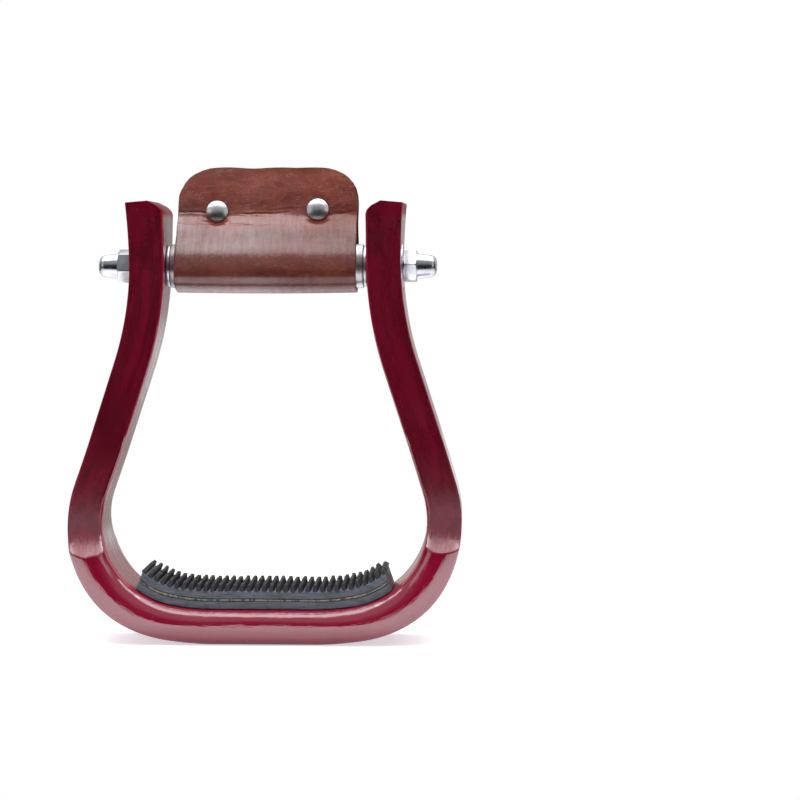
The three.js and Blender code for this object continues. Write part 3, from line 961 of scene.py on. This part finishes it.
# %% [markdown]
# ### A worn strap
#
# The rivets draw the two layers together, so the slope comes forward to the flap round each of them.
# Then both faces of the leather move together, so it keeps its thickness: its front swells unevenly, and it
# hangs slack under the roller, most of all at the lower front. Towards the top it is skived thinner. Last,
# the strap creeps sideways. It flares at the left, its rear layer has slipped, its flap is skewed, and its
# edges waver.
# %% Wear the leather
rivet_places = ((22, 24.6), (-22, 25.5))
rivet_hold = 7.5
flap_skew = -0.55

for point in leather.shape.verts:
    for rivet_deep, rivet_up in rivet_places:
        off = math.hypot(point[leather.deep] - rivet_deep, point.co.z - rivet_up)
        if off < rivet_hold and point[leather.along] > fold_middle:
            flap_place = front_layer - point[leather.across]
            point.co.x += max(0, flap_place - point.co.x) * between(off, 4.6, rivet_hold, 1, 0)
for point in leather.shape.verts:
    along = point[leather.along]
    across = point[leather.deep]
    from_top = min(along, strap_length - along)
    from_fold = along - fold_middle
    on_front = between(along, front_start - 24, front_start - 12, 0, 1)
    swell = 0.28 * noise.noise(Vector((along * 0.1, across * 0.07, 2)))
    swell += 0.1 * noise.noise(Vector((along * 0.22, across * 0.18, 6)))
    swell += 0.05 * noise.noise(Vector((along * 0.4, across * 0.3, 7)))
    slack = 0.5 * swell_at(from_fold, 0, 8) * max(0, 1 - (across / 40) ** 2)
    slack += 1.7 * swell_at(from_fold, 8.5, 5.5)
    thinner = between(from_top, 0, 9, 0.4, 0) * point[leather.across] / (leather_thickness / 2)
    moved = (swell - crease_depth(along, across)) * on_front - thinner + slack
    point.co += outwards(point[leather.facing]) * moved
    flare = 0.25 * swell_at(from_fold, 12, 14) * max(0, across / 39) ** 2
    rear_slip = -0.7 * between(along, 8, 50, 1, 0) * (1 if across < 0 else 0.4)
    edge_waver = 0.25 * noise.noise(Vector((along * 0.12, across, 3))) * between(abs(across), 30, 39, 0, 1)
    point.co.y += flare + rear_slip + edge_waver - flap_skew * between(point.co.z, 4, 22, 0, 1)
    top_waver = 0.5 * noise.noise(Vector((across * 0.08, 1, 9))) * between(from_top, 0, 5, 1, 0)
    point.co.z += top_waver - between(from_top, 0, 5, 0.4, 0)
print("the worn strap is", round(max(p.co.y for p in leather.shape.verts) * 2, 1), "mm wide")

# %% [markdown]
# The strap's own length and width are kept in a UV map called hide, in metres, so that pores, scratches
# and the paler cut edge stay on the same spot of leather. Then the wrap is turned to face the front,
# leaned back on the bolt and moved up to it.
# %% Lay out the hide and lean the wrap on the bolt
leather_shift = -0.2
leather_lean = -10

hide = leather.shape.loops.layers.uv.new("hide")
for face in leather.shape.faces:
    for corner in face.loops:
        point = corner.vert
        corner[hide].uv = (point[leather.along] * millimetre, point[leather.deep] * millimetre)
cut_edge = leather.shape.verts.layers.float.new("cut_edge")
for point in leather.shape.verts:
    on_rim = abs(point[leather.across]) < leather_thickness / 2 - 0.3
    point[cut_edge] = 1 if on_rim else 0
rotate(leather.shape, 90, "Z")
rotate(leather.shape, leather_lean, "X")
bmesh.ops.translate(leather.shape, verts=leather.shape.verts, vec=(leather_shift, 0, bolt_height))
finish_piece("leather_strap", leather.shape, "leather_body", ["leather_wrap"], sharp=40)

# %% [markdown]
# ## Rivets
#
# A double-cap rivet has a domed cap in front and a post with its own flatter cap behind. Both are turned.
# The cap's rim is rolled, so it ends in a small rounded edge. The post runs through both layers and ends
# just behind the front cap.
# %% Turn the rivets
cap_gap = 0.1
post_radius = 1.5
flap_front = front_layer - leather_thickness / 2 - cap_gap
flap_rear = rear_layer + leather_thickness / 2 + cap_gap
post_end = -(flap_rear - flap_front - cap_gap)
front_outline = [
    (0, 0), (4.45, 0), (4.68, 0.12), (4.75, 0.34), (4.68, 0.56), (4.45, 0.7), (4.2, 0.82), (3.7, 1.1),
    (3.0, 1.42), (2.1, 1.72), (1.05, 1.92), (0, 1.98),
]
rear_outline = [
    (0, post_end), (post_radius, post_end), (post_radius, 0), (4.5, 0), (4.75, 0.16), (4.72, 0.36),
    (4.3, 0.62), (3.2, 1.0), (1.7, 1.3), (0, 1.4),
]


def rivet_part(outline, facing, behind, place):
    shape = turned(outline, 48)
    rotate(shape, facing, "Z")
    bmesh.ops.translate(shape, verts=shape.verts, vec=(-place[0], behind, place[1]))
    rotate(shape, leather_lean, "X")
    bmesh.ops.translate(shape, verts=shape.verts, vec=(leather_shift + flap_skew, 0, bolt_height))
    return shape


for name, place in zip(("left", "right"), rivet_places):
    cap = rivet_part(front_outline, -90, flap_front, place)
    finish_piece("rivet_front_" + name, cap, "leather_body", ["rivet_cap_" + name])
    post = rivet_part(rear_outline, 90, flap_rear, place)
    finish_piece("rivet_rear_" + name, post, "leather_body", ["rivet_post_" + name])

# %% [markdown]
# ## Building a material
#
# A material here is a small chain of nodes that ends in one Principled shader. These helpers keep the
# chains readable: one adds a node and fills or links its sockets, one starts a material and one links the
# results to the shader.
# %% Helpers to start and end a material
def add(tree, kind, sockets=None, **settings):
    made = tree.nodes.new(kind)
    for setting, value in settings.items():
        setattr(made, setting, value)
    for socket, value in (sockets or {}).items():
        if isinstance(value, bpy.types.NodeSocket):
            tree.links.new(value, made.inputs[socket])
        else:
            made.inputs[socket].default_value = value
    return made


def start_material(name, sockets):
    material = bpy.data.materials.new(name)
    material.use_nodes = True
    tree = material.node_tree
    shader = tree.nodes["Principled BSDF"]
    for socket, value in sockets.items():
        shader.inputs[socket].default_value = value
    return material, tree, shader


def connect(tree, shader, results):
    for socket, value in results.items():
        tree.links.new(value, shader.inputs[socket])


# %% [markdown]
# The other helpers name what is used again and again: a stretched noise, a mask made from a value, sums and
# products, a mix of two colours, a bump, and what a mesh has noted on its points.
# %% Helpers for patterns
def noise_at(tree, place, scales, detail=2, roughness=0.5, distortion=0):
    stretched = add(tree, "ShaderNodeVectorMath", {0: place, 1: scales}, operation="MULTIPLY").outputs[0]
    sockets = {
        "Vector": stretched, "Scale": 1, "Detail": detail, "Roughness": roughness,
        "Distortion": distortion,
    }
    return add(tree, "ShaderNodeTexNoise", sockets).outputs[0]


def mask(tree, value, low, high, at_low=0, at_high=1):
    sockets = {"Value": value, "From Min": low, "From Max": high, "To Min": at_low, "To Max": at_high}
    return add(tree, "ShaderNodeMapRange", sockets, clamp=True).outputs[0]


def times(tree, first, second):
    return add(tree, "ShaderNodeMath", {0: first, 1: second}, operation="MULTIPLY").outputs[0]


def plus(tree, first, second):
    return add(tree, "ShaderNodeMath", {0: first, 1: second}, operation="ADD").outputs[0]


def without_sign(tree, value):
    return add(tree, "ShaderNodeMath", {0: value}, operation="ABSOLUTE").outputs[0]


def colour_mix(tree, share, first, second):
    node = add(tree, "ShaderNodeMix", data_type="RGBA")
    for socket, value in ((0, share), (6, first), (7, second)):
        if isinstance(value, bpy.types.NodeSocket):
            tree.links.new(value, node.inputs[socket])
        elif socket == 0:
            node.inputs[socket].default_value = value
        else:
            node.inputs[socket].default_value = (*value, 1)
    return node.outputs[2]


def bump(tree, height, distance):
    return add(tree, "ShaderNodeBump", {"Height": height, "Distance": distance, "Strength": 1}).outputs[0]


def object_place(tree):
    return add(tree, "ShaderNodeTexCoord").outputs["Object"]


def separated(tree, place):
    return add(tree, "ShaderNodeSeparateXYZ", {"Vector": place}).outputs


def noted(tree, name):
    return add(tree, "ShaderNodeAttribute", attribute_name=name).outputs["Fac"]


# %% [markdown]
# ## Varnished wood
#
# The board is ash or oak, stained deep crimson under a glossy varnish. The stain is a little uneven and
# follows the year rings. It is painted a brighter red on the rounded lower part, as painted light from the
# floor, and is brightest where worn edges have rubbed it thin. The pattern lies in a board that the grain
# map has straightened: X runs along the fibres, Y across the board's thickness and Z across its depth.
# %% Stain the wood
varnished_wood, tree, shader = start_material("varnished_wood", {
    "Roughness": 0.5, "IOR": 1.45, "Specular IOR Level": 0.04, "Coat IOR": 2.1, "Coat Roughness": 0.1,
})
flat = separated(tree, add(tree, "ShaderNodeUVMap", uv_map="grain").outputs["UV"])
own_place = separated(tree, object_place(tree))
board = add(tree, "ShaderNodeCombineXYZ", {
    "X": flat["X"], "Y": flat["Y"], "Z": own_place["Y"],
}).outputs[0]
height = own_place["Z"]
worn = noted(tree, "edge_wear")

rings = noise_at(tree, board, (9, 160, 330), 3, 0.55, 0.6)
fibres = noise_at(tree, board, (60, 2600, 2600), 3, 0.6)
stain = colour_mix(tree, mask(tree, rings, 0.4, 0.62), (0.16, 0.0008, 0.016), (0.1, 0.0005, 0.009))
# Painted light: the lowest few centimetres are painted a brighter red, standing in for light from the floor.
stain = colour_mix(tree, mask(tree, height, 0.05, 0.034, 0, 0.8), stain, (0.33, 0.002, 0.034))
stain = colour_mix(tree, mask(tree, fibres, 0.35, 0.75, 0, 0.4), stain, (0.06, 0.0005, 0.005))
stain = colour_mix(tree, times(tree, worn, 0.75), stain, (0.4, 0.003, 0.04))
print("the stain takes", len(tree.nodes), "nodes")

# %% [markdown]
# Open pores run along the grain as short dark dashes, mostly on the broad inner and outer faces. Worn edges
# have small dark chips, and a little dust lies under the varnish.
# %% Open the pores
pore_noise = noise_at(tree, board, (150, 2300, 2300), 1, 0.4, 0.25)
pores = times(tree, mask(tree, pore_noise, 0.655, 0.71), mask(tree, rings, 0.42, 0.58))
broad = mask(tree, without_sign(tree, flat["Y"]), 0.0068, 0.0074)
pores = times(tree, pores, mask(tree, broad, 0, 1, 0.35, 1))
stain = colour_mix(tree, times(tree, pores, 0.9), stain, (0.012, 0.001, 0.002))
chips = mask(tree, noise_at(tree, board, (500, 900, 900), 2, 0.7), 0.66, 0.7)
stain = colour_mix(tree, times(tree, chips, worn), stain, (0.02, 0.004, 0.006))
specks = add(tree, "ShaderNodeTexVoronoi", {"Vector": board, "Scale": 330}).outputs["Distance"]
dust = mask(tree, specks, 0.045, 0.02)
stain = colour_mix(tree, times(tree, dust, 0.5), stain, (0.5, 0.42, 0.44))
print("the wood takes", len(tree.nodes), "nodes")

# %% [markdown]
# The varnish is a coat with its own roughness and bump. It has smears and scuffs, is scratched where the
# sander ran over it, and dips into the pores. On the inner face it has sunk in along the fibres, and at the
# sawn tops and under the tread it is thin, so those shine less.
# %% Varnish the wood
smears = noise_at(tree, board, (28, 90, 90), 4, 0.65)
scuffs = noise_at(tree, board, (130, 900, 900), 3, 0.7)
scratches = noise_at(tree, board, (60, 1500, 60), 3, 0.7)
shine = plus(tree, mask(tree, smears, 0.4, 0.7, 0.05, 0.18), mask(tree, scuffs, 0.55, 0.75, 0, 0.1))
inner = mask(tree, flat["Y"], 0.0068, 0.0074)
rough_cut = noted(tree, "sanded")
scratched = plus(tree, 0.11, mask(tree, scratches, 0.35, 0.7, 0, 0.3))
shine = plus(tree, shine, times(tree, rough_cut, scratched))

sunk_in = mask(tree, noise_at(tree, board, (14, 1300, 1300), 2, 0.5, 0.1), 0.35, 0.65, 1, 0.66)
weight = plus(tree, mask(tree, inner, 0, 1, 1, 0), times(tree, inner, sunk_in))
weight = times(tree, weight, mask(tree, rough_cut, 0, 1, 1, 0.62))
dull = plus(tree, mask(tree, height, 0.009, 0.001, 0, 0.55), mask(tree, height, 0.1835, 0.186, 0, 0.75))

sag = noise_at(tree, board, (50, 170, 170), 2, 0.5)
ripples = noise_at(tree, board, (120, 620, 620), 3, 0.6)
coat_height = plus(tree, times(tree, sag, 0.5), times(tree, ripples, 0.34))
coat_height = plus(tree, coat_height, times(tree, times(tree, pores, broad), -0.35))
connect(tree, shader, {
    "Base Color": stain,
    "Coat Roughness": plus(tree, shine, times(tree, inner, 0.05)),
    "Coat Weight": times(tree, weight, mask(tree, dull, 0, 1, 1, 0)),
    "Coat Normal": bump(tree, coat_height, 0.00036),
    "Normal": bump(tree, plus(tree, fibres, times(tree, pores, -0.6)), 0.0001),
})
print("with its varnish it takes", len(tree.nodes))

# %% [markdown]
# ## Rubber and belt fabric
#
# Black rubber that has been cut and handled is a dull blue-grey, with fine drag lines along the cut and
# darker mottles. The moulded nubs are blacker.
# %% Make the rubber
tread_rubber, tree, shader = start_material("tread_rubber", {"IOR": 1.5, "Specular IOR Level": 0.5})
place = object_place(tree)
drag = noise_at(tree, place, (90, 90, 1900), 3, 0.6)
mottle = noise_at(tree, place, (260, 260, 260), 4, 0.65)
grit = noise_at(tree, place, (1500, 1500, 1500), 2, 0.6)
tone = colour_mix(tree, mask(tree, drag, 0.3, 0.7), (0.052, 0.058, 0.072), (0.13, 0.146, 0.18))
tone = colour_mix(tree, noted(tree, "nub"), tone, (0.022, 0.022, 0.024))
tone = colour_mix(tree, mask(tree, mottle, 0.5, 0.8, 0, 0.7), tone, (0.02, 0.02, 0.023))
connect(tree, shader, {
    "Base Color": tone,
    "Roughness": mask(tree, mottle, 0.3, 0.7, 0.42, 0.68),
    "Normal": bump(tree, plus(tree, times(tree, drag, 0.8), grit), 0.00018),
})
print("the rubber takes", len(tree.nodes), "nodes")

# %% [markdown]
# The ply shows on the cut side as two pale cords that wander through the rubber. The pad has noted on its
# points how high in the layer each of them lies, so a cord is a thin band at one level. One noise moves
# the cords up and down, and another breaks them into dashes.
# %% Make the fabric ply
belt_fabric, tree, shader = start_material("belt_fabric", {"IOR": 1.45, "Roughness": 0.8})
place = object_place(tree)
level = noted(tree, "level")
wander = mask(tree, noise_at(tree, place, (110, 20, 20), 3, 0.5), 0.2, 0.8, -0.4, 0.4)
dashes = mask(tree, noise_at(tree, place, (620, 90, 90), 2, 0.6), 0.36, 0.52)


def cord_at(offset):
    off = without_sign(tree, plus(tree, plus(tree, level, offset), wander))
    return mask(tree, off, 0.19, 0.08)


cords = times(tree, plus(tree, cord_at(-0.24), cord_at(0.2)), dashes)
connect(tree, shader, {
    "Base Color": colour_mix(tree, cords, (0.05, 0.056, 0.07), (0.36, 0.32, 0.2)),
    "Normal": bump(tree, dashes, 0.0002),
})
print("the ply takes", len(tree.nodes), "nodes")

# %% [markdown]
# ## Brown leather
#
# The grain side is a waxed red-brown, clouded and darker where it is worn. Below the bend in front of the
# roller it is painted darker: painted shade. The cut edges show the raw, orange-tan middle of the hide.
# Fine pale lines cross it where it was handled. Each is made where a noise crosses its middle value, which
# draws thin winding lines.
# %% Colour the leather
brown_leather, tree, shader = start_material("brown_leather", {
    "IOR": 1.5, "Specular IOR Level": 0.15, "Coat Roughness": 0.24, "Coat IOR": 1.85,
})
hide_map = add(tree, "ShaderNodeUVMap", uv_map="hide").outputs["UV"]
clouds = noise_at(tree, hide_map, (70, 40, 0), 4, 0.6)
wear = noise_at(tree, hide_map, (320, 150, 0), 5, 0.7, 0.4)
patches = noise_at(tree, hide_map, (60, 60, 0), 2, 0.5)


def wrinkle_lines(scales, detail, thin, where):
    folds = noise_at(tree, hide_map, scales, detail, 0.6, 0.3)
    off = add(tree, "ShaderNodeMath", {0: folds, 1: 0.5}, operation="SUBTRACT").outputs[0]
    return times(tree, mask(tree, without_sign(tree, off), thin, 0), where)


fine = wrinkle_lines((420, 110, 0), 3, 0.02, mask(tree, patches, 0.4, 0.6))
coarse = wrinkle_lines((150, 45, 0), 4, 0.012, mask(tree, patches, 0.6, 0.42))
hairs = wrinkle_lines((90, 240, 0), 2, 0.01, mask(tree, clouds, 0.5, 0.62))
lines = mask(tree, plus(tree, fine, plus(tree, coarse, hairs)), 0, 1)
hide_place = separated(tree, hide_map)
along = hide_place["X"]
across = hide_place["Y"]
# Painted shade: the front of the wrap below the bend is darkened, half way, as if it lay in shade.
below_bend = mask(tree, along, (front_start - 8) * millimetre, (front_start - 13) * millimetre)
in_front = mask(tree, along, fold_middle * millimetre, (fold_middle + 4) * millimetre)
painted_shade_zone = times(tree, times(tree, below_bend, in_front), 0.5)

tone = colour_mix(tree, mask(tree, clouds, 0.35, 0.68), (0.13, 0.021, 0.012), (0.24, 0.05, 0.027))
tone = colour_mix(tree, mask(tree, wear, 0.48, 0.72, 0, 0.6), tone, (0.07, 0.012, 0.008))
tone = colour_mix(tree, times(tree, lines, 0.32), tone, (0.36, 0.16, 0.115))
# The painted shade below the bend in front of the roller.
tone = colour_mix(tree, painted_shade_zone, tone, (0.055, 0.007, 0.004))
tone = colour_mix(tree, noted(tree, "cut_edge"), tone, (0.24, 0.1, 0.05))
print("the hide's colour takes", len(tree.nodes), "nodes")

# %% [markdown]
# The wax is a soft coat, polished by hands and thinner towards the right. Its own bump is made of broad
# waves, so that its reflections are not straight. Below it the leather has pebbles, rub marks and the lines.
# %% Wax the leather
rub = noise_at(tree, hide_map, (60, 520, 0), 4, 0.7)
polish = plus(tree, noise_at(tree, hide_map, (45, 28, 0), 3, 0.6), times(tree, rub, 0.8))
handled = mask(tree, across, -0.03, 0.006, 0.55, 1)
pebble = noise_at(tree, hide_map, (1500, 1500, 0), 3, 0.6)
hide_height = plus(tree, times(tree, pebble, 0.35), times(tree, rub, 0.4))
hide_height = plus(tree, times(tree, lines, -0.6), hide_height)
waves = noise_at(tree, hide_map, (110, 240, 0), 4, 0.65)
connect(tree, shader, {
    "Base Color": tone,
    "Roughness": mask(tree, plus(tree, rub, clouds), 0.7, 1.3, 0.3, 0.5),
    "Coat Weight": times(tree, mask(tree, polish, 0.7, 1.15, 1, 0.45), handled),
    "Normal": bump(tree, hide_height, 0.00016),
    "Coat Normal": bump(tree, plus(tree, waves, times(tree, rub, 0.5)), 0.0004),
})
print("with its wax it takes", len(tree.nodes))

# %% [markdown]
# ## Metals
#
# The nuts and washers are nickel plated and bright, the roller is drawn steel with fine rings from its
# polishing, the rivets are nickel with a light brushing, and the hidden bolt is dull zinc. One helper
# makes them all: a metal is its colour, how rough it is, and which way its fine scratches run.
# %% Make the metals
def metal(name, colour, dark, rough, scratch_scales, scratch_depth):
    material, tree, shader = start_material(name, {"Metallic": 1})
    place = object_place(tree)
    cloud = noise_at(tree, place, (140, 140, 140), 3, 0.6)
    scratch = noise_at(tree, place, scratch_scales, 3, 0.65)
    uneven = plus(tree, times(tree, cloud, 0.6), times(tree, scratch, 0.4))
    connect(tree, shader, {
        "Base Color": colour_mix(tree, mask(tree, cloud, 0.4, 0.75), colour, dark),
        "Roughness": mask(tree, uneven, 0.3, 0.7, rough[0], rough[1]),
        "Normal": bump(tree, scratch, scratch_depth),
    })
    return material


finishes = {
    "varnished_wood": varnished_wood,
    "tread_rubber": tread_rubber,
    "belt_fabric": belt_fabric,
    "brown_leather": brown_leather,
    "plated_steel": metal(
        "plated_steel", (0.62, 0.63, 0.66), (0.45, 0.46, 0.49), (0.16, 0.3), (900, 500, 500), 0.00002),
    "roller_steel": metal(
        "roller_steel", (0.66, 0.66, 0.68), (0.46, 0.46, 0.47), (0.26, 0.42), (5200, 60, 60), 0.00004),
    "rivet_steel": metal(
        "rivet_steel", (0.68, 0.68, 0.69), (0.5, 0.5, 0.5), (0.26, 0.36), (2200, 900, 900), 0.00004),
    "zinc_steel": metal(
        "zinc_steel", (0.55, 0.56, 0.58), (0.4, 0.4, 0.41), (0.3, 0.5), (700, 700, 700), 0.00004),
}
print("made", len(finishes), "finishes")

# %% [markdown]
# Each piece takes one finish over its whole surface. The parts that come from the measured model take the
# finish that its record names for them, so the hidden bolt is finished too.
# %% Give every piece its finish
slot_of_node = {part["node"]: part["material_slot"] for part in frame["record"]["subparts"]}
piece_finish = {
    "bow_board": "varnished_wood", "pad_base": "tread_rubber", "pad_ply": "belt_fabric",
    "pad_top": "tread_rubber", "leather_strap": "brown_leather", "roller": "roller_steel",
}
for end in ("left", "right"):
    piece_finish["acorn_nut_" + end] = "plated_steel"
    piece_finish["washer_" + end] = "plated_steel"
    piece_finish["bush_" + end] = "roller_steel"
    piece_finish["rivet_front_" + end] = "rivet_steel"
    piece_finish["rivet_rear_" + end] = "rivet_steel"
for name, finish in piece_finish.items():
    mesh = bpy.data.objects[name].data
    mesh.materials.clear()
    mesh.materials.append(finishes[finish])
for name, node in frame["nodes"].items():
    node.data.materials.clear()
    node.data.materials.append(finishes[slot_of_node[name]])
print("finished", len(piece_finish), "pieces and", len(frame["nodes"]), "carried-over parts")

# %% [markdown]
# ## Floor, world and lamps
#
# The photograph is a product shot on white. The floor is pale and catches the stirrup's contact shadow.
# Away from the stirrup, what the camera and the reflections see of it fades to plain white. None of that
# white lights the stirrup, because it shows only to the camera and in reflections.
# %% Lay the floor
floor_shape = bmesh.new()
bmesh.ops.create_circle(floor_shape, cap_ends=True, segments=64, radius=2)
floor = as_object("floor", floor_shape)


def bare_material(name):
    material = bpy.data.materials.new(name)
    material.use_nodes = True
    material.node_tree.nodes.clear()
    return material, material.node_tree


def glow(tree, colour, strength):
    return add(tree, "ShaderNodeEmission", {"Color": (*colour, 1), "Strength": strength}).outputs[0]


def seen_rays(tree):
    light_path = add(tree, "ShaderNodeLightPath")
    seen = plus(tree, light_path.outputs["Is Camera Ray"], light_path.outputs["Is Glossy Ray"])
    seen = plus(tree, seen, light_path.outputs["Is Transmission Ray"])
    return mask(tree, seen, 0, 1)


floor_white, tree = bare_material("floor_white")
seen = seen_rays(tree)
distance = add(tree, "ShaderNodeVectorMath", {0: object_place(tree)}, operation="LENGTH").outputs["Value"]
far = times(tree, seen, mask(tree, distance, 0.16, 0.36))
pale = add(tree, "ShaderNodeBsdfDiffuse", {"Color": (0.86, 0.86, 0.86, 1)}).outputs[0]
lift = glow(tree, (0.93, 0.95, 1), times(tree, seen, 0.6))
near_floor = add(tree, "ShaderNodeAddShader", {0: pale, 1: lift}).outputs[0]
surface = add(tree, "ShaderNodeMixShader", {0: far, 1: near_floor, 2: glow(tree, (1, 1, 1), 1)}).outputs[0]
add(tree, "ShaderNodeOutputMaterial", {"Surface": surface})
floor.data.materials.append(floor_white)
print("the floor is", floor.dimensions.x, "m across")

# %% [markdown]
# The world is plain white where the camera or a reflection sees it. As a light it is weaker, so that it
# only softens the shadows.
# %% Light the world
soft_light = 0.38
world = bpy.data.worlds.new("white_room")
bpy.context.scene.world = world
world.use_nodes = True
tree = world.node_tree
tree.nodes.clear()
strength = mask(tree, seen_rays(tree), 0, 1, soft_light, 1)
sky = add(tree, "ShaderNodeBackground", {"Color": (1, 1, 1, 1), "Strength": strength}).outputs[0]
add(tree, "ShaderNodeOutputWorld", {"Surface": sky})
print("the world lights with a strength of", soft_light)

# %% [markdown]
# ### Lamps
#
# A large soft lamp hangs over the stirrup and reaches behind it, and one hangs to each side at about the
# same height. Their reflections draw the bright streaks along the rounded edges and the leather's sheen.
# Two more light the front, one from the left and one from above. They are kept out of reflections, so the
# front stays deep red.
# %% Hang the lamps
def lamp(name, place, aim, width, height, radiance):
    data = bpy.data.lights.new(name, "AREA")
    data.shape = "RECTANGLE"
    data.size = width
    data.size_y = height
    data.energy = radiance * math.pi * width * height
    data.color = (0.95, 0.96, 1)
    made = bpy.data.objects.new(name, data)
    bpy.context.scene.collection.objects.link(made)
    made.location = place
    made.rotation_mode = "QUATERNION"
    made.rotation_quaternion = (Vector(aim) - Vector(place)).to_track_quat("-Z", "Y")
    print("hung the lamp", name, "with", round(data.energy, 2), "W")
    return made


lamp("overhead", (0, 0.16, 0.9), (0, 0.16, 0), 1.0, 1.16, 2.2)
for side in (-1, 1):
    lamp("side", (side * 0.66, -0.05, 0.95), (0, -0.05, 0.1), 0.5, 0.44, 3.2)
fill = lamp("fill", (-0.7, -1.3, 0.75), (0, 0, 0.1), 0.6, 0.6, 0.9)
front_top = lamp("front_top", (0, -0.5, 0.85), (0, 0, 0.08), 0.8, 0.35, 2.6)
for unseen in (fill, front_top):
    unseen.visible_glossy = False

# %% [markdown]
# ### Cloths that only reflections show
#
# Glossy things show what stands round them, and in white surroundings the varnish would look chalky. Its
# front has to reflect white close by and dark further out. So dark cloth lies on the floor from 25 cm in
# front, rises behind the camera and leans over to the lamp. A taller one stands at each side, from 50 cm.
# They are nearly black at the floor and lighter towards the top. Behind, two dim cloths, one lying and one
# hanging, keep the metal and the inner faces from turning plain white. Each is one strip, extruded along
# its profile. Nothing but reflections shows them, and they throw no shadow.
# %% Make the cloths
def side_cloth(name, turn, profile, width, cloth):
    shape = bmesh.new()
    out, up = profile[0]
    ends = [shape.verts.new((-width / 2, -out, up)), shape.verts.new((width / 2, -out, up))]
    edge = shape.edges.new(ends)
    for next_out, next_up in profile[1:]:
        made = bmesh.ops.extrude_edge_only(shape, edges=[edge])["geom"]
        points = [part for part in made if isinstance(part, bmesh.types.BMVert)]
        bmesh.ops.translate(shape, verts=points, vec=(0, out - next_out, next_up - up))
        edge = [part for part in made if isinstance(part, bmesh.types.BMEdge)][0]
        out, up = next_out, next_up
    rotate(shape, turn, "Z")
    made = as_object(name, shape)
    made.data.materials.append(cloth)
    made.visible_camera = False
    made.visible_diffuse = False
    made.visible_shadow = False
    made.visible_transmission = False
    made.visible_volume_scatter = False
    print("put up", name)


dark, tree = bare_material("dark_cloth")
height = separated(tree, object_place(tree))["Z"]
dusk = plus(tree, mask(tree, height, 0.1, 0.7, 0.006, 0.09), mask(tree, height, 0.6, 1.2, 0, 0.3))
add(tree, "ShaderNodeOutputMaterial", {"Surface": glow(tree, (0.92, 0.93, 1), dusk)})
dim, tree = bare_material("dim_cloth")
add(tree, "ShaderNodeOutputMaterial", {"Surface": glow(tree, (0.54, 0.5, 0.48), 1)})

tall_profile = [(0.5, 0.0015), (1.9, 0.0015), (1.9, 1.7), (1.2, 2.0)]
side_cloth("dark_front", 0, [(0.25, 0.001), (1.9, 0.001), (1.9, 1.5), (0.62, 1.3)], 3.8, dark)
side_cloth("dark_left", -90, tall_profile, 1.6, dark)
side_cloth("dark_right", 90, tall_profile, 1.6, dark)
side_cloth("dim_floor", 180, [(0.3, 0.001), (0.92, 0.001)], 2.4, dim)
side_cloth("dim_back", 180, [(1.6, 0.04), (1.6, 1.3)], 3.0, dim)

# %% [markdown]
#
# The Standard view transform shows every colour as it was written.
# %% Finish
bpy.context.scene.view_settings.view_transform = "Standard"
